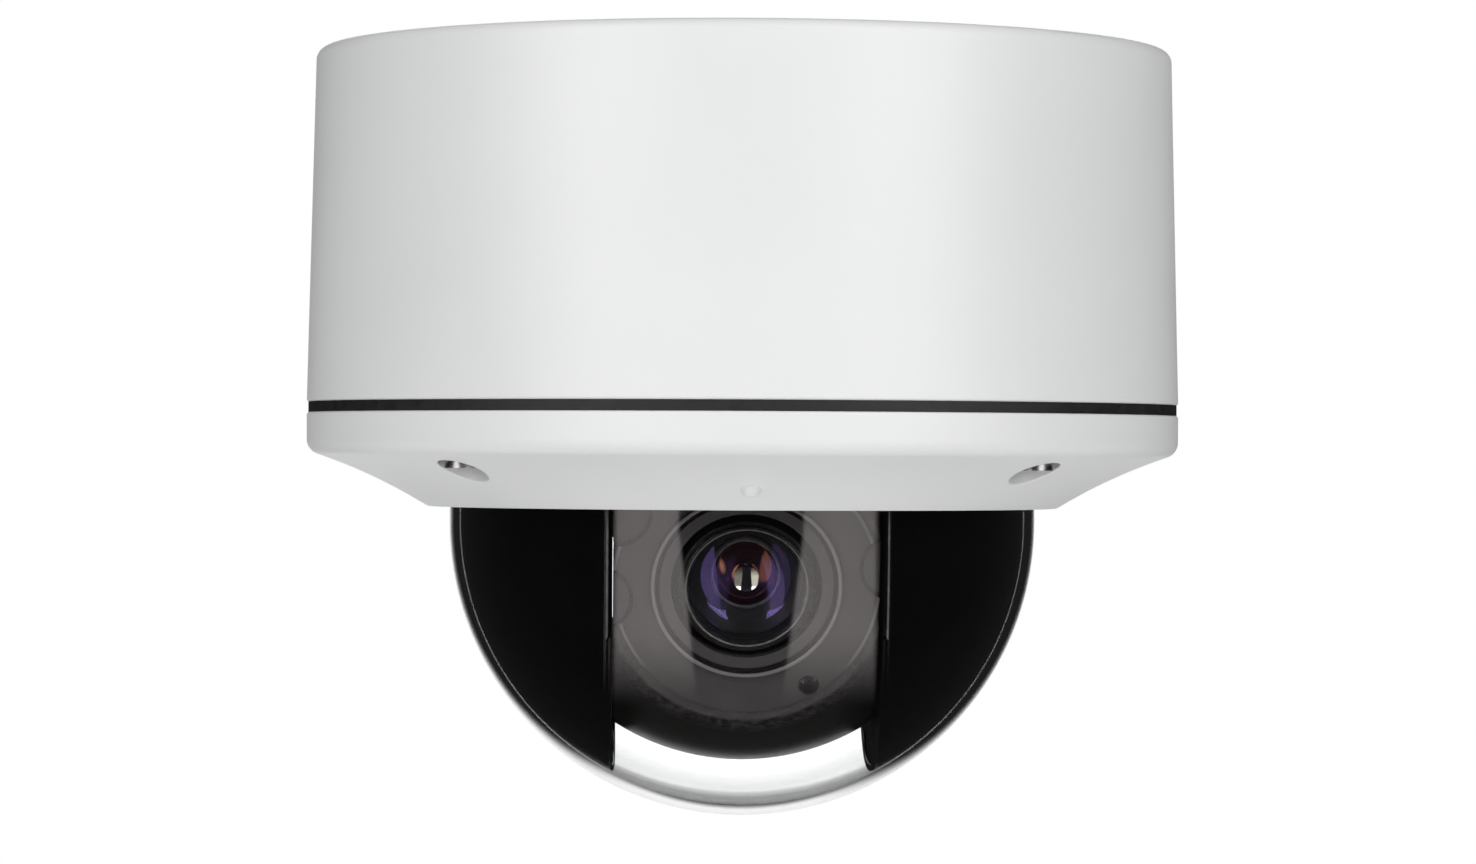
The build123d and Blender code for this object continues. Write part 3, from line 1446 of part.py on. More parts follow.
with BuildPart() as lens_motors:
    with BuildSketch(lens_plane.offset(barrel_back)):
        with Locations((0, screw_circle_radius), (0, -screw_circle_radius)):
            Circle(step_motor_radius)
    extrude(amount=-step_motor_length)
    with BuildSketch(lens_plane.offset(barrel_back)):
        with Locations((0, screw_circle_radius)):
            Circle(lead_screw_radius)
    extrude(amount=zoom_group_place + zoom_group_length - barrel_back)
    with BuildSketch(lens_plane.offset(barrel_back)):
        with Locations((0, -screw_circle_radius)):
            Circle(lead_screw_radius)
    extrude(amount=fixed_group_place - free_gap - barrel_back)
save(lens_motors, "lens_motors")

with BuildPart() as sensor_board:
    with BuildSketch(lens_plane.offset(barrel_back - sensor_post_length)):
        Rectangle(sensor_board_width, sensor_board_height)
    extrude(amount=-board_thickness)
save(sensor_board, "sensor_board")

with BuildPart() as image_sensor:
    with BuildSketch(lens_plane.offset(barrel_back - sensor_post_length)):
        Rectangle(sensor_side, sensor_side)
    extrude(amount=board_thickness)
save(image_sensor, "image_sensor")
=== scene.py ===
# Hanging pan-tilt-zoom dome camera: smooth visible shells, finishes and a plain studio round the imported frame
# Metres, +Z up, the lens looks along -Y and a little down
import json
from math import acos, asin, cos, degrees, pi, radians, sin, sqrt, tan

import bmesh
import bpy
from mathutils import Matrix, Vector


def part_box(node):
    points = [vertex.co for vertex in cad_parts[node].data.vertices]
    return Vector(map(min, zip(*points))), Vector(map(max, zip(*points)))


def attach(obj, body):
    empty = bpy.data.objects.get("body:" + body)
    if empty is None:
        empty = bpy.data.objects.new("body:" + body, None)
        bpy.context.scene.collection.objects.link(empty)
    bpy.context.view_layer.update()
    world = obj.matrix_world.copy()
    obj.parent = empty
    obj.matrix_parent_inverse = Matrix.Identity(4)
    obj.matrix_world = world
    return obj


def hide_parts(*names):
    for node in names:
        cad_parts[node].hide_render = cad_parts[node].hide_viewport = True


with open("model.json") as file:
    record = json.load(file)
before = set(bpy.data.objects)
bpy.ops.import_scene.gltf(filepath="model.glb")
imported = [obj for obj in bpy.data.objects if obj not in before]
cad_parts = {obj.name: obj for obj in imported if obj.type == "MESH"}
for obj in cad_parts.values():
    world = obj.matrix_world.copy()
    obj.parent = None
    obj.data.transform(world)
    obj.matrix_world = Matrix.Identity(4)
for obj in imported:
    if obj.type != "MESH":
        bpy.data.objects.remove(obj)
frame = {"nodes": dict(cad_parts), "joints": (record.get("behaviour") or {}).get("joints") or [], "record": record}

scene = bpy.context.scene
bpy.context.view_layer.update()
cadNodes = frame["nodes"]
joints = {joint["name"]: joint for joint in frame["joints"]}
mm = 0.001

# Measures read from the frame
headCentre = Vector(joints["tilt"]["pos_m"])
lensAim = Vector(joints["zoom"]["axis"]).normalized()
lensUp = lensAim.cross(Vector((1, 0, 0)))
lensPlace = Matrix.Translation(headCentre) @ Matrix(
    ((1, lensUp.x, lensAim.x), (0, lensUp.y, lensAim.y), (0, lensUp.z, lensAim.z))
).to_4x4()
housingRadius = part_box("back_box")[1].x
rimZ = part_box("back_box")[0].z
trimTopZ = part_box("housing_gasket")[0].z
bubbleRadius = headCentre.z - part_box("bubble")[0].z
print("frame read:", len(cadNodes), "nodes")


# Small helpers for modelling
def selectOnly(obj):
    bpy.ops.object.select_all(action="DESELECT")
    obj.select_set(True)
    bpy.context.view_layer.objects.active = obj


def editOn(obj):
    selectOnly(obj)
    bpy.ops.object.mode_set(mode="EDIT")
    bpy.ops.mesh.select_mode(type="VERT")


def editOff():
    bpy.ops.object.mode_set(mode="OBJECT")


def pickVerts(obj, test):
    # selects the vertices whose place passes the test, and the edges and faces between them
    bpy.ops.mesh.select_all(action="DESELECT")
    mesh = bmesh.from_edit_mesh(obj.data)
    for vert in mesh.verts:
        vert.select_set(bool(test(vert.co)))
    mesh.select_flush_mode()
    bmesh.update_edit_mesh(obj.data)


def smoothOver(obj, angle=32):
    selectOnly(obj)
    bpy.ops.object.shade_smooth_by_angle(angle=radians(angle))


def applyAll(obj):
    selectOnly(obj)
    for modifier in list(obj.modifiers):
        bpy.ops.object.modifier_apply(modifier=modifier.name)


def settle(obj, place=None):
    # leaves the object at the origin with its place in its mesh
    if place is not None:
        obj.matrix_world = place @ obj.matrix_basis
    selectOnly(obj)
    bpy.ops.object.transform_apply(location=True, rotation=True, scale=True)


def drawWire(name, corners):
    # a wire through places, rounded at each corner that gives a radius after its place
    places = [Vector(corner[0]) for corner in corners]
    bpy.ops.object.select_all(action="DESELECT")
    bpy.ops.mesh.primitive_plane_add(size=mm, location=places[0])
    obj = bpy.context.object
    obj.name = name
    editOn(obj)
    bpy.ops.mesh.select_all(action="SELECT")
    bpy.ops.mesh.merge(type="CENTER")
    for before, after in zip(places, places[1:]):
        bpy.ops.mesh.extrude_region_move(TRANSFORM_OT_translate={"value": after - before})
    editOff()
    settle(obj)
    editOn(obj)
    for corner, place in zip(corners, places):
        if len(corner) > 1:
            pickVerts(obj, lambda co, place=place: (co - place).length < 0.01 * mm)
            bpy.ops.mesh.bevel(offset=corner[1], segments=4, affect="VERTICES")
    bpy.ops.mesh.select_all(action="SELECT")
    bpy.ops.mesh.remove_doubles(threshold=0.002 * mm)
    editOff()
    return obj


def faceOutwards(obj):
    editOn(obj)
    bpy.ops.mesh.select_all(action="SELECT")
    bpy.ops.mesh.normals_make_consistent(inside=False)
    editOff()


def spinWire(obj, steps, angle=2 * pi, centre=(0, 0, 0), axis=(0, 0, 1)):
    editOn(obj)
    bpy.ops.mesh.select_all(action="SELECT")
    bpy.ops.mesh.spin(steps=steps, angle=angle, center=centre, axis=axis)
    bpy.ops.mesh.select_all(action="SELECT")
    bpy.ops.mesh.remove_doubles(threshold=0.002 * mm)
    editOff()
    faceOutwards(obj)


def turned(name, outline, steps=128):
    # a turned form from (radius, height) or (radius, height, rounding) points, in metres
    corners = [((point[0], 0, point[1]), *point[2:]) for point in outline]
    obj = drawWire(name, corners)
    spinWire(obj, steps)
    return obj


def arc(radius, start, end, count, height=0.0):
    # (radius, height) points on a circle around the axis point at a height, angles from the level
    turns = [start + (end - start) * step / count for step in range(count + 1)]
    return [(radius * cos(radians(turn)), height + radius * sin(radians(turn))) for turn in turns]


def rod(name, radius, low, high, place=(0, 0), steps=48, soft=0.0):
    # an upright cylinder between two heights, with its upper edge softened if asked
    middle = (place[0], place[1], (low + high) / 2)
    bpy.ops.object.select_all(action="DESELECT")
    bpy.ops.mesh.primitive_cylinder_add(vertices=steps, radius=radius, depth=high - low, location=middle)
    obj = bpy.context.object
    obj.name = name
    settle(obj)
    if soft > 0:
        editOn(obj)
        pickVerts(obj, lambda co: co.z > high - 0.01 * mm)
        bpy.ops.mesh.bevel(offset=soft, segments=4, affect="EDGES")
        editOff()
    return obj


def combine(obj, tool, how):
    modifier = obj.modifiers.new(how, "BOOLEAN")
    modifier.operation = how
    modifier.solver = "EXACT"
    modifier.object = tool
    applyAll(obj)
    bpy.data.objects.remove(tool)


def copyNode(name, node):
    # a merged copy of a CAD node, with its flat faces whole again
    obj = bpy.data.objects.new(name, cadNodes[node].data.copy())
    scene.collection.objects.link(obj)
    selectOnly(obj)
    bpy.ops.mesh.customdata_custom_splitnormals_clear()
    editOn(obj)
    bpy.ops.mesh.select_all(action="SELECT")
    bpy.ops.mesh.remove_doubles(threshold=0.001 * mm)
    bpy.ops.mesh.dissolve_limited(angle_limit=radians(0.1))
    editOff()
    return obj


def dropSlivers(obj, reach=0.004 * mm):
    # merges what the cuts left closer together than the reach, and deletes faces that lie back to back
    editOn(obj)
    bpy.ops.mesh.select_all(action="SELECT")
    bpy.ops.mesh.remove_doubles(threshold=reach)
    bpy.ops.mesh.select_all(action="SELECT")
    bpy.ops.mesh.dissolve_degenerate(threshold=reach)
    bpy.ops.mesh.select_all(action="DESELECT")
    bpy.ops.mesh.select_mode(type="FACE")
    mesh = bmesh.from_edit_mesh(obj.data)
    stacks = {}
    for face in mesh.faces:
        stacks.setdefault(frozenset(vert.index for vert in face.verts), []).append(face)
    for stack in stacks.values():
        for face in stack:
            face.select_set(len(stack) > 1)
    bmesh.update_edit_mesh(obj.data)
    bpy.ops.mesh.delete(type="FACE")
    editOff()


def softenEdges(obj, test, width, segments=3):
    editOn(obj)
    pickVerts(obj, test)
    bpy.ops.mesh.bevel(offset=width, segments=segments, affect="EDGES", clamp_overlap=False)
    editOff()


def markFaces(obj, *tests):
    # a face whose middle and normal pass the first test takes the first extra finish, and so on
    while len(obj.data.materials) <= len(tests):
        obj.data.materials.append(None)
    for face in obj.data.polygons:
        passed = [number for number, test in enumerate(tests, 1) if test(face.center, face.normal)]
        face.material_index = passed[0] if passed else 0


def evenNormals(obj):
    modifier = obj.modifiers.new("even normals", "WEIGHTED_NORMAL")
    modifier.keep_sharp = True
    modifier.weight = 80
    applyAll(obj)


def finishPiece(obj, material, body, replaced=(), extras=()):
    # the extra finishes go on the faces that markFaces has picked
    marks = [face.material_index for face in obj.data.polygons]
    obj.data.materials.clear()
    for finish in (material, *extras):
        obj.data.materials.append(finish)
    if extras:
        obj.data.polygons.foreach_set("material_index", marks)
    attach(obj, body)
    if replaced:
        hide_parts(*replaced)


# Finishes
def startFinish(name, values):
    material = bpy.data.materials.new(name)
    material.use_nodes = True
    shader = material.node_tree.nodes["Principled BSDF"]
    for socket, value in values.get("sockets", {}).items():
        shader.inputs[socket].default_value = value
    return material, shader


def patternSpace(material, stretch=(1, 1, 1)):
    nodes = material.node_tree.nodes
    where = nodes.new("ShaderNodeTexCoord")
    mapping = nodes.new("ShaderNodeMapping")
    mapping.inputs["Scale"].default_value = stretch
    material.node_tree.links.new(where.outputs["Object"], mapping.inputs["Vector"])
    return mapping.outputs["Vector"]


def noiseOf(material, space, scale, detail=3.0):
    noise = material.node_tree.nodes.new("ShaderNodeTexNoise")
    noise.inputs["Scale"].default_value = scale
    noise.inputs["Detail"].default_value = detail
    material.node_tree.links.new(space, noise.inputs["Vector"])
    return noise.outputs["Fac"]


def rangeOf(material, factor, low, high, fromLow=0.3, fromHigh=0.7):
    ranged = material.node_tree.nodes.new("ShaderNodeMapRange")
    ranged.inputs["From Min"].default_value = fromLow
    ranged.inputs["From Max"].default_value = fromHigh
    ranged.inputs["To Min"].default_value = low
    ranged.inputs["To Max"].default_value = high
    material.node_tree.links.new(factor, ranged.inputs["Value"])
    return ranged.outputs["Result"]


def bumpFrom(material, shader, height, depth, strength=1.0):
    bump = material.node_tree.nodes.new("ShaderNodeBump")
    bump.inputs["Distance"].default_value = depth
    bump.inputs["Strength"].default_value = strength
    material.node_tree.links.new(height, bump.inputs["Height"])
    material.node_tree.links.new(bump.outputs["Normal"], shader.inputs["Normal"])


def maths(tree, operation, first, second):
    node = tree.nodes.new("ShaderNodeMath")
    node.operation = operation
    for socket, value in zip(node.inputs, (first, second)):
        if isinstance(value, (int, float)):
            socket.default_value = value
        else:
            tree.links.new(value, socket)
    return node.outputs["Value"]


def riseOf(tree, value, start, end, low=0.0, high=1.0):
    # a smooth step from low to high while the value goes from start to end
    step = tree.nodes.new("ShaderNodeMapRange")
    step.interpolation_type = "SMOOTHSTEP"
    for socket, number in (("From Min", start), ("From Max", end), ("To Min", low), ("To Max", high)):
        step.inputs[socket].default_value = number
    tree.links.new(value, step.inputs["Value"])
    return step.outputs["Result"]


def mixOf(tree, factor, first, second):
    # blends two colours, or a colour that another node makes with one more
    mix = tree.nodes.new("ShaderNodeMix")
    mix.data_type = "RGBA"
    tree.links.new(factor, mix.inputs["Factor"])
    for socket, colour in (("A", first), ("B", second)):
        if isinstance(colour, tuple):
            mix.inputs[socket].default_value = (*colour, 1)
        else:
            tree.links.new(colour, mix.inputs[socket])
    return mix.outputs["Result"]


def grainFinish(name, values):
    # a colour that wanders between two shades, a worn or even gloss, and a fine relief
    material, shader = startFinish(name, values)
    tree = material.node_tree
    space = patternSpace(material, values.get("stretch", (1, 1, 1)))
    cloud = noiseOf(material, space, values["cloudScale"])
    colour = mixOf(tree, rangeOf(material, cloud, 0, 1), values["dark"], values["light"])
    tree.links.new(colour, shader.inputs["Base Color"])
    tree.links.new(rangeOf(material, cloud, *values["roughness"]), shader.inputs["Roughness"])
    relief = noiseOf(material, space, values["reliefScale"], values.get("reliefDetail", 2.0))
    bumpFrom(material, shader, relief, values["reliefDepth"])
    return material


whitePaint = grainFinish("satinWhitePaint", {
    "dark": (0.805, 0.81, 0.813), "light": (0.838, 0.842, 0.844), "cloudScale": 14,
    "roughness": (0.36, 0.44), "reliefScale": 620, "reliefDepth": 0.012 * mm,
    "sockets": {"IOR": 1.48, "Specular IOR Level": 0.45},
})
blackRubber = grainFinish("blackSealRubber", {
    "dark": (0.006, 0.006, 0.006), "light": (0.014, 0.0135, 0.013), "cloudScale": 300,
    "roughness": (0.5, 0.7), "reliefScale": 1800, "reliefDepth": 0.02 * mm,
})
glossBlack = grainFinish("pianoBlack", {
    "dark": (0.0012, 0.0012, 0.0013), "light": (0.0022, 0.0022, 0.0023), "cloudScale": 60,
    "roughness": (0.03, 0.06), "reliefScale": 55, "reliefDepth": 0.004 * mm,
    "sockets": {"IOR": 1.45},
})
# Camera head, in lens space, where +Z is the way the lens looks and X is the tilt axis
headValues = {"radius": 60 * mm, "sideGap": 1 * mm, "wall": 2.2 * mm, "split": 8 * mm, "face": 49 * mm,
              "sideSoft": 0.5 * mm, "faceSoft": 0.45 * mm, "seamSoft": 0.3 * mm, "steps": 144,
              "disc": 32.6 * mm, "discHeight": 0.8 * mm, "discSoft": 0.3 * mm,
              "rim": (22.1 * mm, 23.3 * mm, 1.6 * mm), "step": (21.2 * mm, 0.8 * mm), "opening": 18.3 * mm,
              "pad": 7.5 * mm, "padGap": 0.8 * mm, "padCircle": 36 * mm, "padAngles": (7, 150, 186),
              "padRise": 0.4 * mm, "padSoft": 0.3 * mm,
              "screwCircle": 30 * mm, "screwAngles": (-59, 121), "recess": (2.5 * mm, 8 * mm, 0.3 * mm),
              "screwHole": 1.6 * mm, "boss": 4 * mm, "bossFoot": 36 * mm}


def polar(radius, angle):
    return (radius * cos(radians(angle)), radius * sin(radians(angle)))


headFinishValues = {
    "ball": ((0.0078, 0.0072, 0.0070), (0.0108, 0.0100, 0.0097)),
    "face": ((0.040, 0.0355, 0.0355), (0.052, 0.0465, 0.0465)),
    # the light rim colour is a painted highlight on the rim bead and the disc's side edges; the near-black colour
    # after it is painted shade in the gaps beside the rim and around the pads
    "rim": (0.17, 0.155, 0.155), "paintedGapShade": (0.004, 0.0036, 0.0036),
    "faceHeight": (48.3 * mm, 48.9 * mm), "rimHeight": (51.15 * mm, 51.36 * mm),
    "grooveIn": (20.95 * mm, 21.25 * mm), "grooveOut": (22.05 * mm, 22.4 * mm),
    "padRoom": (7.35 * mm, 7.55 * mm, 8.25 * mm, 8.5 * mm), "padShade": 0.8,
    "edgeHeight": (49.5 * mm, 49.62 * mm), "edgeIn": (31.55 * mm, 31.8 * mm),
    "highlightSides": (23 * mm, 28 * mm),
    "grainHeight": (45.0 * mm, 47.4 * mm, 49.1 * mm, 49.5 * mm), "grainColour": 0.55,
    "ballRough": 0.30, "faceRough": 0.52, "rimRough": 0.3,
    "fineScale": 1500, "fineDepth": 0.05, "coarseScale": 480, "coarseDepth": 0.7,
}


def makeHeadFinish():
    # smooth dark ball, a lumpy band around the flat grey face, painted shade in the gaps, and a painted highlight
    # on the glossier rim bead and on the disc's side edges
    v = headFinishValues
    material, shader = startFinish("headPlastic", {"sockets": {"IOR": 1.5}})
    tree = material.node_tree
    link = tree.links.new
    where = tree.nodes.new("ShaderNodeTexCoord")
    turn = tree.nodes.new("ShaderNodeMapping")
    turn.vector_type = "TEXTURE"
    turn.inputs["Location"].default_value = headCentre
    turn.inputs["Rotation"].default_value = lensPlace.to_euler()
    link(where.outputs["Object"], turn.inputs["Vector"])
    space = turn.outputs["Vector"]
    axes = tree.nodes.new("ShaderNodeSeparateXYZ")
    link(space, axes.inputs["Vector"])
    height = axes.outputs["Z"]
    face = riseOf(tree, height, *v["faceHeight"])
    rim = riseOf(tree, height, *v["rimHeight"])
    band = maths(tree, "MULTIPLY", riseOf(tree, height, *v["grainHeight"][:2]),
                 riseOf(tree, height, *v["grainHeight"][2:], 1, 0))
    across = maths(tree, "ADD", maths(tree, "POWER", axes.outputs["X"], 2),
                   maths(tree, "POWER", axes.outputs["Y"], 2))
    across = maths(tree, "SQRT", across, 0)
    # painted shade: darkens the gap between the step ring and the rim bead
    paintedGapShade = maths(tree, "MULTIPLY", riseOf(tree, across, *v["grooveIn"]),
                   riseOf(tree, across, *v["grooveOut"], 1, 0))
    cloud = rangeOf(material, noiseOf(material, space, 160), 0, 1)
    lumps = noiseOf(material, space, v["coarseScale"], 1)
    speck = maths(tree, "MULTIPLY", rangeOf(material, lumps, 0, v["grainColour"], 0.42, 0.68), band)
    ballColour = mixOf(tree, speck, mixOf(tree, cloud, *v["ball"]), v["face"][1])
    colour = mixOf(tree, face, ballColour, mixOf(tree, cloud, *v["face"]))
    colour = mixOf(tree, paintedGapShade, colour, v["paintedGapShade"])
    flat = tree.nodes.new("ShaderNodeCombineXYZ")
    link(axes.outputs["X"], flat.inputs["X"])
    link(axes.outputs["Y"], flat.inputs["Y"])
    # painted shade: darkens the gap around each pad on the face
    for angle in headValues["padAngles"]:
        apart = tree.nodes.new("ShaderNodeVectorMath")
        apart.operation = "DISTANCE"
        apart.inputs[1].default_value = (*polar(headValues["padCircle"], angle), 0)
        link(flat.outputs["Vector"], apart.inputs[0])
        room = maths(tree, "MULTIPLY", riseOf(tree, apart.outputs["Value"], *v["padRoom"][:2]),
                     riseOf(tree, apart.outputs["Value"], *v["padRoom"][2:], 1, 0))
        shade = maths(tree, "MULTIPLY", maths(tree, "MULTIPLY", room, face), v["padShade"])
        colour = mixOf(tree, shade, colour, v["paintedGapShade"])
    # painted highlight: the disc's outer edge is lighter, only towards its left and right sides
    edge = maths(tree, "MULTIPLY", riseOf(tree, height, *v["edgeHeight"]), riseOf(tree, across, *v["edgeIn"]))
    aside = maths(tree, "ABSOLUTE", axes.outputs["X"], 0)
    edge = maths(tree, "MULTIPLY", edge, riseOf(tree, aside, *v["highlightSides"]))
    colour = mixOf(tree, edge, colour, v["rim"])
    # painted highlight: the rim bead takes the light rim colour
    link(mixOf(tree, rim, colour, v["rim"]), shader.inputs["Base Color"])
    rough = maths(tree, "ADD", v["ballRough"], maths(tree, "MULTIPLY", face, v["faceRough"] - v["ballRough"]))
    rough = maths(tree, "ADD", rough, maths(tree, "MULTIPLY", rim, v["rimRough"] - v["faceRough"]))
    link(rough, shader.inputs["Roughness"])
    fine = maths(tree, "MULTIPLY", noiseOf(material, space, v["fineScale"], 4),
                 maths(tree, "MULTIPLY", face, v["fineDepth"]))
    coarse = maths(tree, "MULTIPLY", lumps, maths(tree, "MULTIPLY", band, v["coarseDepth"]))
    bumpFrom(material, shader, maths(tree, "ADD", fine, coarse), mm)
    return material


headPlastic = makeHeadFinish()
lensBlack = grainFinish("anodisedBlack", {
    "dark": (0.006, 0.006, 0.0062), "light": (0.012, 0.012, 0.012), "cloudScale": 400,
    "roughness": (0.28, 0.42), "reliefScale": 2600, "reliefDepth": 0.01 * mm,
})
mattBlack = grainFinish("mattBlackPlastic", {
    "dark": (0.010, 0.010, 0.011), "light": (0.020, 0.020, 0.021), "cloudScale": 220,
    "roughness": (0.5, 0.65), "reliefScale": 1400, "reliefDepth": 0.03 * mm,
})
plainSteel = grainFinish("stainlessSteel", {
    "dark": (0.42, 0.42, 0.42), "light": (0.56, 0.555, 0.55), "cloudScale": 240,
    "roughness": (0.2, 0.36), "reliefScale": 900, "reliefDepth": 0.01 * mm, "sockets": {"Metallic": 1.0},
})
zincSteel = grainFinish("zincPlatedSteel", {
    "dark": (0.50, 0.51, 0.52), "light": (0.66, 0.665, 0.66), "cloudScale": 90,
    "roughness": (0.24, 0.42), "reliefScale": 500, "reliefDepth": 0.012 * mm, "sockets": {"Metallic": 1.0},
})
blastedAluminium = grainFinish("blastedAluminium", {
    "dark": (0.62, 0.63, 0.64), "light": (0.72, 0.725, 0.73), "cloudScale": 60,
    "roughness": (0.42, 0.55), "reliefScale": 2200, "reliefDepth": 0.03 * mm, "sockets": {"Metallic": 1.0},
})
turnedAluminium = grainFinish("turnedAluminium", {
    "dark": (0.64, 0.64, 0.65), "light": (0.78, 0.78, 0.785), "cloudScale": 120, "stretch": (1, 1, 14),
    "roughness": (0.2, 0.34), "reliefScale": 300, "reliefDepth": 0.01 * mm, "sockets": {"Metallic": 1.0},
})
motorCan = grainFinish("drawnMotorCan", {
    "dark": (0.27, 0.27, 0.28), "light": (0.38, 0.38, 0.39), "cloudScale": 130, "stretch": (1, 1, 9),
    "roughness": (0.26, 0.38), "reliefScale": 260, "reliefDepth": 0.01 * mm, "sockets": {"Metallic": 1.0},
})
beltRubber = grainFinish("beltRubber", {
    "dark": (0.010, 0.010, 0.010), "light": (0.026, 0.026, 0.026), "cloudScale": 500,
    "roughness": (0.6, 0.8), "reliefScale": 1100, "reliefDepth": 0.05 * mm,
})
boardGreen = grainFinish("solderMaskGreen", {
    "dark": (0.008, 0.085, 0.036), "light": (0.018, 0.155, 0.062), "cloudScale": 260, "stretch": (1, 3, 1),
    "roughness": (0.2, 0.34), "reliefScale": 420, "reliefDepth": 0.02 * mm,
})
tinnedShield = grainFinish("tinnedShield", {
    "dark": (0.50, 0.50, 0.49), "light": (0.64, 0.64, 0.63), "cloudScale": 180,
    "roughness": (0.2, 0.34), "reliefScale": 420, "reliefDepth": 0.01 * mm, "sockets": {"Metallic": 1.0},
})
terminalGreen = grainFinish("terminalGreen", {
    "dark": (0.025, 0.24, 0.095), "light": (0.04, 0.32, 0.13), "cloudScale": 120,
    "roughness": (0.36, 0.5), "reliefScale": 900, "reliefDepth": 0.02 * mm,
})
sensorDark = grainFinish("sensorUnderGlass", {
    "dark": (0.010, 0.010, 0.02), "light": (0.03, 0.022, 0.05), "cloudScale": 600,
    "roughness": (0.05, 0.12), "reliefScale": 900, "reliefDepth": 0.002 * mm,
})


def clearGlass(name, values):
    # polished glass that lets lamp and bounce light straight through, so what it covers is lit evenly
    material, shader = startFinish(name, values)
    tree = material.node_tree
    link = tree.links.new
    haze = noiseOf(material, patternSpace(material), values["hazeScale"])
    link(rangeOf(material, haze, *values["roughness"]), shader.inputs["Roughness"])
    path = tree.nodes.new("ShaderNodeLightPath")
    indirect = maths(tree, "MAXIMUM", path.outputs["Is Shadow Ray"], path.outputs["Is Diffuse Ray"])
    through = tree.nodes.new("ShaderNodeBsdfTransparent")
    through.inputs["Color"].default_value = (*values["through"], 1)
    blend = tree.nodes.new("ShaderNodeMixShader")
    link(indirect, blend.inputs["Fac"])
    link(shader.outputs["BSDF"], blend.inputs[1])
    link(through.outputs["BSDF"], blend.inputs[2])
    link(blend.outputs["Shader"], tree.nodes["Material Output"].inputs["Surface"])
    return material


bubbleClear = clearGlass("clearPolycarbonate", {
    "hazeScale": 40, "roughness": (0.0, 0.004), "through": (0.95, 0.95, 0.95),
    "sockets": {"Base Color": (0.985, 0.99, 0.99, 1), "Transmission Weight": 1.0, "IOR": 1.58},
})
violetCoat = clearGlass("violetCoatedGlass", {
    "hazeScale": 300, "roughness": (0.0, 0.01), "through": (0.9, 0.9, 0.95),
    "sockets": {"Base Color": (0.93, 0.93, 0.96, 1), "Transmission Weight": 1.0, "IOR": 2.0,
                "Specular Tint": (0.42, 0.31, 1.0, 1), "Specular IOR Level": 1.0},
})
amberCoat = grainFinish("amberCoatedGlass", {
    "dark": (0.50, 0.185, 0.15), "light": (0.58, 0.22, 0.18), "cloudScale": 400,
    "roughness": (0.01, 0.03), "reliefScale": 300, "reliefDepth": 0.0005 * mm, "sockets": {"Metallic": 1.0},
})
deepCoat = grainFinish("deepCoatedGlass", {
    "dark": (0.80, 0.77, 0.77), "light": (0.88, 0.85, 0.85), "cloudScale": 400,
    "roughness": (0.01, 0.03), "reliefScale": 300, "reliefDepth": 0.0005 * mm, "sockets": {"Metallic": 1.0},
})
# painted highlight: a light grey for thin lens rings that stand for bright light lines
lensEdgeHighlight = grainFinish("paintedLensEdgeHighlight", {
    "dark": (0.13, 0.12, 0.12), "light": (0.19, 0.175, 0.17), "cloudScale": 500,
    "roughness": (0.25, 0.35), "reliefScale": 2600, "reliefDepth": 0.005 * mm,
})
# painted highlight: a lighter grey for the shrouds' rounded slot edges
lipHighlight = grainFinish("paintedLipHighlight", {
    "dark": (0.10, 0.092, 0.09), "light": (0.15, 0.14, 0.136), "cloudScale": 200,
    "roughness": (0.2, 0.3), "reliefScale": 900, "reliefDepth": 0.004 * mm,
})
wallBlack = grainFinish("mattWallBlack", {
    "dark": (0.0016, 0.0016, 0.0016), "light": (0.003, 0.003, 0.003), "cloudScale": 120,
    "roughness": (0.7, 0.8), "reliefScale": 900, "reliefDepth": 0.02 * mm,
    "sockets": {"Specular IOR Level": 0.1},
})
print("finishes ready")

slotFinish = {
    "housing_white": whitePaint, "seal_rubber": blackRubber, "bubble_clear": bubbleClear, "steel": plainSteel,
    "zinc_steel": zincSteel, "aluminium": blastedAluminium, "pulley_metal": turnedAluminium,
    "motor_case": motorCan, "belt_rubber": beltRubber, "black_plastic": mattBlack, "board_green": boardGreen,
    "connector": tinnedShield, "terminal_green": terminalGreen, "shroud_black": glossBlack,
    "head_grey": headPlastic, "retainer_black": lensBlack, "lens_glass": violetCoat,
    "sensor_dark": sensorDark,
}
for part in frame["record"]["subparts"]:
    for holder in cadNodes[part["node"]].material_slots:
        holder.material = slotFinish[part["material_slot"]]


# Housing and trim ring: merged copies with their painted edges rounded
housingValues = {"rimSoft": 0.7 * mm, "trimSoft": 0.7 * mm, "pocketSoft": 0.4 * mm, "pocketRadius": 6.1 * mm,
                 "pocketCircle": 97 * mm, "pocketFloor": -100.3 * mm}


def ringTest(radius, height, reach=0.02 * mm):
    return lambda co: abs(co.z - height) < reach and abs(sqrt(co.x ** 2 + co.y ** 2) - radius) < reach


def makeHousing():
    obj = copyNode("housingShell", "back_box")
    softenEdges(obj, ringTest(housingRadius, rimZ), housingValues["rimSoft"], 5)
    smoothOver(obj)
    evenNormals(obj)
    finishPiece(obj, whitePaint, "housing", ["back_box"])


def makeTrimRing():
    obj = copyNode("trimRingShell", "trim_ring")
    softenEdges(obj, ringTest(housingRadius, trimTopZ), housingValues["trimSoft"], 5)
    pocketXY = housingValues["pocketCircle"] / sqrt(2)

    def onPocketEdge(co):
        away = sqrt((abs(co.x) - pocketXY) ** 2 + (abs(co.y) - pocketXY) ** 2)
        below = co.z < housingValues["pocketFloor"] - 0.3 * mm
        return below and abs(away - housingValues["pocketRadius"]) < 0.03 * mm

    softenEdges(obj, onPocketEdge, housingValues["pocketSoft"], 4)
    smoothOver(obj)
    evenNormals(obj)
    finishPiece(obj, whitePaint, "housing", ["trim_ring"])


makeHousing()
makeTrimRing()
print("housing and trim ring ready")


# Bubble: one turned shell of clear plastic
bubbleValues = {"wall": 2.5 * mm, "steps": 192, "rise": 48, "edge": 0.3 * mm}


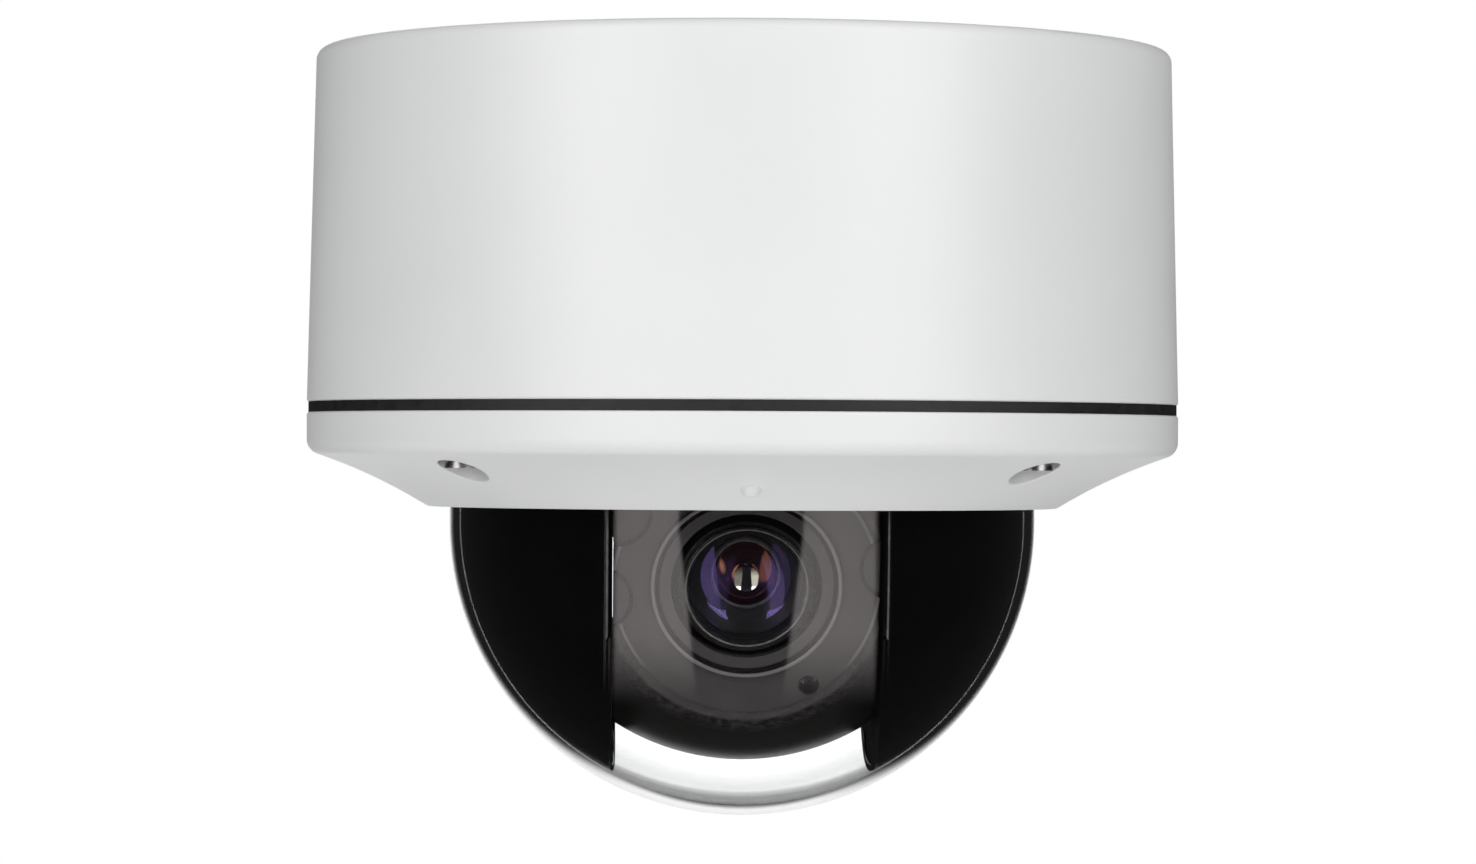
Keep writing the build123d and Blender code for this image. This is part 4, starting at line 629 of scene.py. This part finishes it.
def makeBubble():
    low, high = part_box("bubble")
    inner = bubbleRadius - bubbleValues["wall"]
    flangeZ = high.z - bubbleValues["wall"]
    outline = arc(bubbleRadius, -90, 0, bubbleValues["rise"], headCentre.z)
    outline += [(bubbleRadius, flangeZ, bubbleValues["edge"])]
    outline += [(high.x, flangeZ, bubbleValues["edge"]), (high.x, high.z, bubbleValues["edge"])]
    outline += [(inner, high.z, bubbleValues["edge"])]
    outline += arc(inner, 0, -90, bubbleValues["rise"], headCentre.z)
    obj = turned("bubbleShell", outline, bubbleValues["steps"])
    smoothOver(obj)
    finishPiece(obj, bubbleClear, "housing", ["bubble"])


makeBubble()
print("bubble ready")


# Shrouds: half domes with a flat wall beside the slot, rounded where the two meet
shroudValues = {"wall": 2.0 * mm, "grow": 0.4 * mm, "soft": 0.55 * mm, "steps": 112,
                "bead": 0.8 * mm, "beadDepth": 1.6 * mm, "beadDrop": 27 * mm, "beadSoft": 0.25 * mm,
                "bearing": 8 * mm, "screwPlace": (12.6 * mm, 12 * mm), "screwRadius": 1.6 * mm,
                "screwHead": 2.6 * mm, "lipSlopes": (0.2, 0.86), "lipReach": 0.7 * mm, "wallSlope": 0.94}
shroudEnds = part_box("right_shroud")
wallX = shroudEnds[0].x + shroudValues["bead"]
shroudRadius = shroudEnds[1].x + shroudValues["grow"]
shroudRise = shroudEnds[1].z - headCentre.z


def shroudSkin(name, radius, x, soft):
    # half turned about the tilt axis from front to back, then raised above it
    edge = sqrt(radius ** 2 - x ** 2)
    corners = [((point[1], -point[0], 0),) for point in arc(radius, degrees(acos(edge / radius)), 90, 40)]
    corners[0] = ((x, -edge, 0), soft)
    obj = drawWire(name, [((x, 0, 0),)] + corners)
    spinWire(obj, shroudValues["steps"], -pi, axis=(1, 0, 0))
    editOn(obj)
    pickVerts(obj, lambda co: abs(co.z) < 0.001 * mm)
    bpy.ops.mesh.extrude_region_move(TRANSFORM_OT_translate={"value": (0, 0, shroudRise)})
    editOff()
    return obj


def shroudBead():
    # the rim that narrows the slot along the lower part of the wall's edge
    edge = sqrt(shroudRadius ** 2 - wallX ** 2)
    soft = shroudValues["beadSoft"]
    face = wallX - shroudValues["bead"]
    start = asin(shroudValues["beadDrop"] / edge)
    root = wallX + 0.7 * shroudValues["wall"]
    rootEdge = sqrt(shroudRadius ** 2 - root ** 2) - 0.06 * mm
    faceEdge = sqrt(shroudRadius ** 2 - face ** 2) - 0.04 * mm
    low = edge - shroudValues["beadDepth"]
    corners = [((root, -rootEdge, 0),), ((face, -faceEdge, 0), soft), ((face, -low, 0), soft),
               ((root, -low, 0),)]
    obj = drawWire("shroudBead", corners)
    editOn(obj)
    bpy.ops.mesh.select_all(action="SELECT")
    bpy.ops.mesh.edge_face_add()
    bpy.ops.transform.rotate(value=-start, orient_axis="X", center_override=(0, 0, 0))
    bpy.ops.mesh.spin(steps=72, angle=2 * start - pi, center=(0, 0, 0), axis=(1, 0, 0))
    editOff()
    faceOutwards(obj)
    return obj


def shroudHoles():
    # the bearing's hole and two screw holes with room for their heads, along the tilt axis
    across = Matrix.Rotation(pi / 2, 4, "Y")
    wall = shroudValues["wall"]
    screwY, screwZ = shroudValues["screwPlace"]
    near, far = wallX - wall, wallX + 2 * wall
    holes = [rod("bearingHole", shroudValues["bearing"], near, far, steps=64)]
    for y in (-screwY, screwY):
        holes.append(rod("screwHole", shroudValues["screwRadius"], near, far, (-screwZ, y), 32))
        holes.append(rod("headRoom", shroudValues["screwHead"], near, wallX + wall / 2, (-screwZ, y), 32))
    for hole in holes:
        settle(hole, across)
    return holes


def makeShroud(name, node, side):
    wall = shroudValues["wall"]
    obj = shroudSkin(name, shroudRadius, wallX, shroudValues["soft"])
    shroudSkin("shroudInside", shroudRadius - wall, wallX + wall, shroudValues["soft"])
    obj.select_set(True)
    bpy.context.view_layer.objects.active = obj
    bpy.ops.object.join()
    editOn(obj)
    pickVerts(obj, lambda co: co.z > shroudRise - 0.001 * mm)
    bpy.ops.mesh.fill()
    editOff()
    faceOutwards(obj)
    combine(obj, shroudBead(), "UNION")
    for hole in shroudHoles():
        combine(obj, hole, "DIFFERENCE")
    if side < 0:
        obj.scale.x = -1
    settle(obj, Matrix.Translation(headCentre))
    faceOutwards(obj)
    smoothOver(obj)
    lipZ = headCentre.z - shroudValues["beadDrop"]
    low, high = shroudValues["lipSlopes"]

    # painted highlight: the rounded edge beside the slot is lighter, only above where the bead starts
    def onLip(middle, normal):
        near = abs(middle.x) < wallX + shroudValues["lipReach"]
        return near and low < abs(normal.x) < high and middle.z > lipZ

    def onWall(middle, normal):
        return abs(normal.x) > shroudValues["wallSlope"] and abs(middle.x) < wallX + wall + 0.1 * mm

    markFaces(obj, onLip, onWall)
    finishPiece(obj, glossBlack, "pan", [node], [lipHighlight, wallBlack])


makeShroud("rightShroudShell", "right_shroud", 1)
makeShroud("leftShroudShell", "left_shroud", -1)
print("shrouds ready")


# Camera head: a ball with flat sides and a flat front that carries a raised disc, worked in lens space
headHalfWidth = wallX - headValues["sideGap"]


def headBall(name, radius, halfWidth, face, sideSoft, steps):
    # a ball turned about the tilt axis, its sides cut flat, then its front cut flat and softened
    edge = sqrt(radius ** 2 - halfWidth ** 2)
    reach = degrees(asin(halfWidth / radius))
    outline = [(0, -halfWidth), (edge, -halfWidth, sideSoft)] + arc(radius, -reach, reach, 24)[1:-1]
    outline += [(edge, halfWidth, sideSoft), (0, halfWidth)]
    obj = turned(name, outline, steps)
    settle(obj, Matrix.Rotation(pi / 2, 4, "Y"))
    editOn(obj)
    bpy.ops.mesh.select_all(action="SELECT")
    bpy.ops.mesh.bisect(plane_co=(0, 0, face), plane_no=(0, 0, 1), use_fill=True, clear_outer=True)
    editOff()
    return obj


def cutAt(obj, place, normal, keepAbove=True):
    editOn(obj)
    bpy.ops.mesh.select_all(action="SELECT")
    bpy.ops.mesh.bisect(plane_co=place, plane_no=normal, use_fill=True, clear_inner=keepAbove,
                        clear_outer=not keepAbove)
    editOff()


def trimSides(obj):
    # cuts off what would stand past the head's flat sides
    reach = headHalfWidth - 0.02 * mm
    cutAt(obj, (reach, 0, 0), (1, 0, 0), False)
    cutAt(obj, (-reach, 0, 0), (1, 0, 0), True)


def makeHeadFront():
    v = headValues
    face, wall, top = v["face"], v["wall"], v["face"] + v["discHeight"]
    obj = headBall("headFrontShell", v["radius"], headHalfWidth, face, v["sideSoft"], v["steps"])
    editOn(obj)
    pickVerts(obj, lambda co: abs(co.z - face) < 0.01 * mm)
    bpy.ops.mesh.remove_doubles(threshold=0.25 * mm)
    editOff()
    softenEdges(obj, lambda co: abs(co.z - face) < 0.01 * mm, v["faceSoft"])
    cutAt(obj, (0, 0, v["split"]), (0, 0, 1))
    softenEdges(obj, lambda co: abs(co.z - v["split"]) < 0.01 * mm, v["seamSoft"], 2)
    rimIn, rimOut, rimRise = v["rim"]
    stepOut, stepRise = v["step"]
    soft = v["discSoft"]
    disc = turned("faceDisc", [
        (0, face - wall / 2), (v["disc"], face - wall / 2), (v["disc"], top, soft), (rimOut, top, soft / 2),
        (rimOut, top + rimRise, 0.5 * mm), (rimIn, top + rimRise, 0.5 * mm), (rimIn, top, soft / 2),
        (stepOut, top, soft / 2), (stepOut, top + stepRise, soft), (0, top + stepRise),
    ], 160)
    padPlaces = [polar(v["padCircle"], angle) for angle in v["padAngles"]]
    room = v["pad"] + v["padGap"]
    for place in padPlaces:
        combine(disc, rod("padRoom", room, face - wall, top + wall, place, 96), "DIFFERENCE")
        editOn(disc)
        pickVerts(disc, lambda co, place=place: abs(co.z - top) < 0.01 * mm and
                  abs(sqrt((co.x - place[0]) ** 2 + (co.y - place[1]) ** 2) - room) < 0.02 * mm)
        bpy.ops.mesh.bevel(offset=soft, segments=3, affect="EDGES")
        editOff()
    trimSides(disc)
    combine(obj, disc, "UNION")
    for place in padPlaces:
        pad = rod("facePad", v["pad"], face - wall * 0.9, face + v["padRise"], place, 96, v["padSoft"])
        trimSides(pad)
        combine(obj, pad, "UNION")
    inside = headBall("headInside", v["radius"] - wall, headHalfWidth - wall, face - wall, v["sideSoft"], 96)
    screwPlaces = [polar(v["screwCircle"], angle) for angle in v["screwAngles"]]
    for place in screwPlaces:
        combine(inside, rod("screwBoss", v["boss"], v["bossFoot"], face, place, 48), "DIFFERENCE")
    combine(obj, inside, "DIFFERENCE")
    combine(obj, rod("lensOpening", v["opening"], 0, top + wall, steps=128), "DIFFERENCE")
    wide, deep, flare = v["recess"]
    for place in screwPlaces:
        recess = turned("screwRecess", [
            (0, top - deep), (wide, top - deep), (wide, top - flare),
            (wide + flare, top), (wide + flare, top + wall), (0, top + wall),
        ], 48)
        settle(recess, Matrix.Translation((*place, 0)))
        combine(obj, recess, "DIFFERENCE")
        combine(obj, rod("screwHole", v["screwHole"], 0, face, place, 32), "DIFFERENCE")
    dropSlivers(obj)
    smoothOver(obj, 30)
    evenNormals(obj)
    settle(obj, lensPlace)
    finishPiece(obj, headPlastic, "head", ["head_front_shell"])


makeHeadFront()
print("camera head ready")


# Lens: retaining ring, barrel, coated front glass, and on the zoom cell a domed glass, a hollow one and a lip
lensValues = {"front": 51 * mm, "bore": 14.66 * mm, "retainer": 15.5 * mm, "opening": 13.8 * mm,
              "retainerHeights": (-4.5 * mm, -3 * mm, 1.4 * mm, 0.2 * mm, -0.9 * mm),
              "land": 0.8 * mm, "lead": 0.35 * mm,
              "glassSeat": 43.1 * mm, "glassEdge": 3.4 * mm, "bulge": 2.9 * mm, "steps": 128,
              "edgeLight": 1.05 * mm, "edgeInset": 0.6 * mm, "barrelEdges": (16.5 * mm, 15.7 * mm),
              "barrelSoft": 0.25 * mm,
              "amber": (6.2 * mm, 38.5 * mm, 0.2 * mm, 2.8 * mm),
              "deep": (2.8 * mm, 40.8 * mm, 1.6 * mm, -0.75 * mm),
              "cellRing": (6.3 * mm, 7.0 * mm, 40.0 * mm, 0.7 * mm)}


def dome(radius, bulge, height, count=12):
    # (radius, height) points of a shallow cap, from its rim to its middle
    curve = (radius ** 2 + bulge ** 2) / (2 * abs(bulge))
    centre = height + bulge - curve if bulge > 0 else height + bulge + curve
    start = degrees(acos(radius / curve))
    if bulge > 0:
        return arc(curve, start, 90, count, centre)
    return arc(curve, -start, -90, count, centre)


def makeRetainer():
    v = lensValues
    foot, step, top, slope, mouth = (v["front"] + rise for rise in v["retainerHeights"])
    obj = turned("retainingRing", [
        (v["opening"], foot), (v["bore"], foot), (v["bore"], step), (v["retainer"], step),
        (v["retainer"], top, 0.35 * mm), (v["retainer"] - v["land"], top, 0.3 * mm),
        (v["opening"] + v["lead"], slope, 0.2 * mm), (v["opening"], mouth, 0.15 * mm), (v["opening"], foot),
    ], v["steps"])
    smoothOver(obj)

    def onInnerCorner(middle, normal):
        away = sqrt(middle.x ** 2 + middle.y ** 2)
        return middle.z > v["front"] + v["edgeLight"] and away < v["retainer"] - v["edgeInset"]

    # painted highlight: the retainer's inner top corner takes the light grey
    markFaces(obj, onInnerCorner)
    settle(obj, lensPlace)
    finishPiece(obj, lensBlack, "head", ["lens_retainer"], [lensEdgeHighlight])


def makeFrontGlass():
    v = lensValues
    seat, top = v["glassSeat"], v["glassSeat"] + v["glassEdge"]
    clear = v["opening"] - 0.04 * mm
    outline = [(0, seat), (v["bore"], seat, 0.15 * mm), (v["bore"], top, 0.15 * mm), (clear, top)]
    obj = turned("frontGlass", outline + dome(clear, v["bulge"], top, 16)[1:], v["steps"])
    smoothOver(obj)
    settle(obj, lensPlace)
    finishPiece(obj, violetCoat, "head", ["front_element"])


def makeInnerGlass(name, values, material, body):
    # a smaller glass with a domed or hollow front: radius, height of its back, edge and bulge
    radius, back, edge, bulge = values
    outline = [(0, back), (radius, back, 0.15 * mm), (radius, back + edge)]
    obj = turned(name, outline + dome(radius, bulge, back + edge, 12)[1:], 96)
    smoothOver(obj)
    settle(obj, lensPlace)
    finishPiece(obj, material, body)


def makeCellRing():
    # a thin turned lip around the mouth of the zoom cell, in a light grey that paints a highlight line on it
    inside, outside, back, depth = lensValues["cellRing"]
    obj = turned("zoomCellRing", [
        (inside, back), (outside, back, 0.1 * mm), (outside, back + depth / 2, 0.2 * mm),
        ((inside + outside) / 2, back + depth, 0.15 * mm), (inside, back + depth / 2, 0.1 * mm),
        (inside, back),
    ], 96)
    smoothOver(obj)
    settle(obj, lensPlace)
    finishPiece(obj, lensEdgeHighlight, "zoom")


def makeBarrel():
    v = lensValues
    obj = copyNode("lensBarrelTube", "lens_barrel")
    settle(obj, lensPlace.inverted())

    def onFrontEdge(co):
        away = sqrt(co.x ** 2 + co.y ** 2)
        nearest = min(abs(away - edge) for edge in v["barrelEdges"])
        return abs(co.z - v["front"]) < 0.02 * mm and nearest < 0.03 * mm

    softenEdges(obj, onFrontEdge, v["barrelSoft"])
    smoothOver(obj)
    evenNormals(obj)
    settle(obj, lensPlace)
    finishPiece(obj, lensBlack, "head", ["lens_barrel"])


makeRetainer()
makeBarrel()
makeFrontGlass()
makeInnerGlass("amberZoomGlass", lensValues["amber"], amberCoat, "zoom")
makeInnerGlass("deepZoomGlass", lensValues["deep"], deepCoat, "zoom")
makeCellRing()
print("lens ready")


# Studio
studio = {"distance": 1.3, "aside": -0.032, "height": -0.1013, "aim": (-0.0011, 0, -0.0961), "lens": 125.2,
          "roll": 0.27, "floorDrop": 2.2, "floorSize": 5.0}


def aimAt(obj, target, roll=0.0):
    turn = (Vector(target) - obj.location).to_track_quat("-Z", "Y")
    obj.rotation_euler = (turn.to_matrix() @ Matrix.Rotation(radians(roll), 3, "Z")).to_euler()


def makeCamera():
    data = bpy.data.cameras.new("viewCamera")
    data.lens = studio["lens"]
    data.sensor_width = 36
    data.clip_start = 0.01
    data.clip_end = 50
    camera = bpy.data.objects.new("viewCamera", data)
    scene.collection.objects.link(camera)
    camera.location = (studio["aside"], -studio["distance"], studio["height"])
    aimAt(camera, studio["aim"], studio["roll"])
    scene.camera = camera


def softbox(name, values):
    # an upright lamp at a heading, its sides and its ends given in degrees as seen from the head
    data = bpy.data.lights.new(name, "AREA")
    data.shape = "RECTANGLE"
    reach = values["distance"]
    low, high = (reach * tan(radians(end)) for end in values["ends"])
    data.size = 2 * reach * tan(radians(values["width"] / 2))
    data.size_y = high - low
    data.energy = values["glow"] * pi * data.size * data.size_y
    data.color = values.get("colour", (1, 1, 1))
    lamp = bpy.data.objects.new(name, data)
    scene.collection.objects.link(lamp)
    heading = radians(values["heading"])
    middle = headCentre + Vector((0, 0, (low + high) / 2))
    lamp.location = middle + reach * Vector((sin(heading), -cos(heading), 0))
    aimAt(lamp, middle)
    lamp.visible_camera = False
    lamp.visible_glossy = values.get("seenInGloss", True)
    lamp.visible_transmission = values.get("seenInGloss", True)


def lowPanel(values):
    # a level panel under the object that lights its underside, and shows in nothing
    data = bpy.data.lights.new("lowPanel", "AREA")
    data.size = values["size"]
    data.energy = values["glow"] * pi * data.size ** 2
    lamp = bpy.data.objects.new("lowPanel", data)
    scene.collection.objects.link(lamp)
    lamp.location = (0, values["forward"], -values["drop"])
    lamp.rotation_euler = (pi, 0, 0)
    lamp.visible_camera = False
    lamp.visible_glossy = False
    lamp.visible_transmission = False


softboxes = {
    "upperLeft": {"heading": -42, "width": 36, "ends": (4, 52), "distance": 1.5, "glow": 3.15},
    "upperRight": {"heading": 42, "width": 36, "ends": (4, 52), "distance": 1.5, "glow": 3.35},
    "lowerLeft": {"heading": -38.9, "width": 27.8, "ends": (-52, 3), "distance": 1.0, "glow": 0.98,
                  "seenInGloss": False},
    "lowerRight": {"heading": 38.9, "width": 27.8, "ends": (-52, 3), "distance": 1.0, "glow": 0.93,
                  "seenInGloss": False},
}
lowPanelValues = {"size": 1.6, "glow": 1.0, "forward": -0.15, "drop": 1.0}
roomValues = {"bounce": 0.135, "bounceColour": (0.98, 0.985, 1.0), "gloss": 0.012,
              "cardColour": (1.07, 0.985, 0.985), "cardGlow": (0.98, 0.92), "cardInLens": 0.32,
              "cardShifts": (0.008, 0.026), "cardInner": (0.205, 0.222, 0.12), "cardOuter": (0.430, 0.447),
              "cardFoot": (-0.63, -0.33), "cardHead": (0.12, 0.2),
              "backdropGlow": 1.6, "backdropSides": (0.13, 0.27, 0.56, 0.68),
              "backdropFoot": (0.19, 0.215, 0.25), "footLevels": (0.52, 0.27),
              "turnedSides": (0.10, 0.30), "turnedEnds": (0.40, 0.52)}


def makeWorld():
    # a soft level for bounced light; two upright cards in reflections; a white backdrop seen straight and
    # through glass, grey towards its foot and dark at its sides, of which light that glass has turned inside
    # its wall finds only the middle
    world = bpy.data.worlds.new("paleRoom")
    scene.world = world
    world.use_nodes = True
    tree = world.node_tree
    tree.nodes.clear()
    link = tree.links.new
    v = roomValues

    def level(strength, colour=(1, 1, 1)):
        background = tree.nodes.new("ShaderNodeBackground")
        background.inputs["Color"].default_value = (*colour, 1)
        if isinstance(strength, (int, float)):
            background.inputs["Strength"].default_value = strength
        else:
            link(strength, background.inputs["Strength"])
        return background

    def split(vector):
        axes = tree.nodes.new("ShaderNodeSeparateXYZ")
        link(vector, axes.inputs["Vector"])
        return [axes.outputs[axis] for axis in "XYZ"]

    def times(*values):
        product = values[0]
        for value in values[1:]:
            product = maths(tree, "MULTIPLY", product, value)
        return product

    path = tree.nodes.new("ShaderNodeLightPath")
    where = tree.nodes.new("ShaderNodeTexCoord")
    x, y, z = split(where.outputs["Generated"])
    side = maths(tree, "ABSOLUTE", x, 0)

    # cards: placed by the slope of a surface that shows them to the front
    halfway = tree.nodes.new("ShaderNodeVectorMath")
    halfway.operation = "SUBTRACT"
    halfway.inputs[1].default_value = Vector((-studio["aside"], studio["distance"], 0)).normalized()
    link(where.outputs["Generated"], halfway.inputs[0])
    slope = tree.nodes.new("ShaderNodeVectorMath")
    slope.operation = "NORMALIZE"
    link(halfway.outputs["Vector"], slope.inputs[0])
    slopeX, _, slopeZ = split(slope.outputs["Vector"])
    outerSlope, innerSlope = (
        maths(tree, "ABSOLUTE", maths(tree, "ADD", slopeX, shift), 0) for shift in v["cardShifts"])
    innerSlope = maths(tree, "SUBTRACT", innerSlope, times(slopeZ, v["cardInner"][2]))
    inLens = maths(tree, "GREATER_THAN", path.outputs["Transmission Depth"], 2.5)
    rightSide = riseOf(tree, slopeX, -0.1, 0.1)
    dimmed = maths(tree, "SUBTRACT", 1, times(inLens, rightSide, 1 - v["cardInLens"]))
    card = times(riseOf(tree, innerSlope, *v["cardInner"][:2]),
                 riseOf(tree, outerSlope, *v["cardOuter"], 1, 0),
                 riseOf(tree, slopeZ, *v["cardFoot"]), riseOf(tree, slopeZ, *v["cardHead"], 1, 0),
                 riseOf(tree, slopeX, -0.1, 0.1, *v["cardGlow"]), dimmed)

    # backdrop
    nearSide, farSide = v["backdropSides"][:2], v["backdropSides"][2:]
    flags = maths(tree, "MAXIMUM", riseOf(tree, side, *nearSide, 1, v["gloss"]),
                  riseOf(tree, side, *farSide))
    drop = maths(tree, "MULTIPLY", z, -1)
    high, middle, foot = v["backdropFoot"]
    fall = times(riseOf(tree, drop, high, middle, 1, v["footLevels"][0]),
                 riseOf(tree, drop, middle, foot, 1, v["footLevels"][1] / v["footLevels"][0]))
    seenThrough = times(flags, fall)
    behind = maths(tree, "GREATER_THAN", y, 0)
    turnedLight = times(riseOf(tree, side, *v["turnedSides"], 1, 0),
                        riseOf(tree, maths(tree, "ABSOLUTE", z, 0), *v["turnedEnds"], 1, 0), behind)
    straight = maths(tree, "LESS_THAN", path.outputs["Glossy Depth"], 1)

    def layered(under, over, factor):
        blend = tree.nodes.new("ShaderNodeMixShader")
        link(factor, blend.inputs["Fac"])
        link(under.outputs[0], blend.inputs[1])
        link(over.outputs[0], blend.inputs[2])
        return blend

    inMirrors = tree.nodes.new("ShaderNodeAddShader")
    link(level(card, v["cardColour"]).outputs["Background"], inMirrors.inputs[0])
    link(level(maths(tree, "MAXIMUM", turnedLight, v["gloss"])).outputs["Background"], inMirrors.inputs[1])
    throughGlass = layered(inMirrors, level(times(seenThrough, v["backdropGlow"])), straight)
    shown = layered(level(v["bounce"], v["bounceColour"]), inMirrors, path.outputs["Is Glossy Ray"])
    shown = layered(shown, throughGlass, path.outputs["Is Transmission Ray"])
    shown = layered(shown, level(1), path.outputs["Is Camera Ray"])
    output = tree.nodes.new("ShaderNodeOutputWorld")
    link(shown.outputs[0], output.inputs["Surface"])


def makeFloor():
    bpy.ops.object.select_all(action="DESELECT")
    bpy.ops.mesh.primitive_plane_add(size=studio["floorSize"], location=(0, 0, -studio["floorDrop"]))
    floor = bpy.context.object
    floor.name = "paleFloor"
    settle(floor)
    floor.data.materials.append(grainFinish("paleFloorPaint", {
        "dark": (0.78, 0.78, 0.78), "light": (0.82, 0.82, 0.82), "cloudScale": 3,
        "roughness": (0.6, 0.7), "reliefScale": 60, "reliefDepth": 0.1 * mm,
    }))
    floor.visible_glossy = False
    floor.visible_transmission = False


makeCamera()
makeWorld()
makeFloor()
for name, values in softboxes.items():
    softbox(name, values)
lowPanel(lowPanelValues)
scene.view_settings.view_transform = "Standard"
print("studio ready")
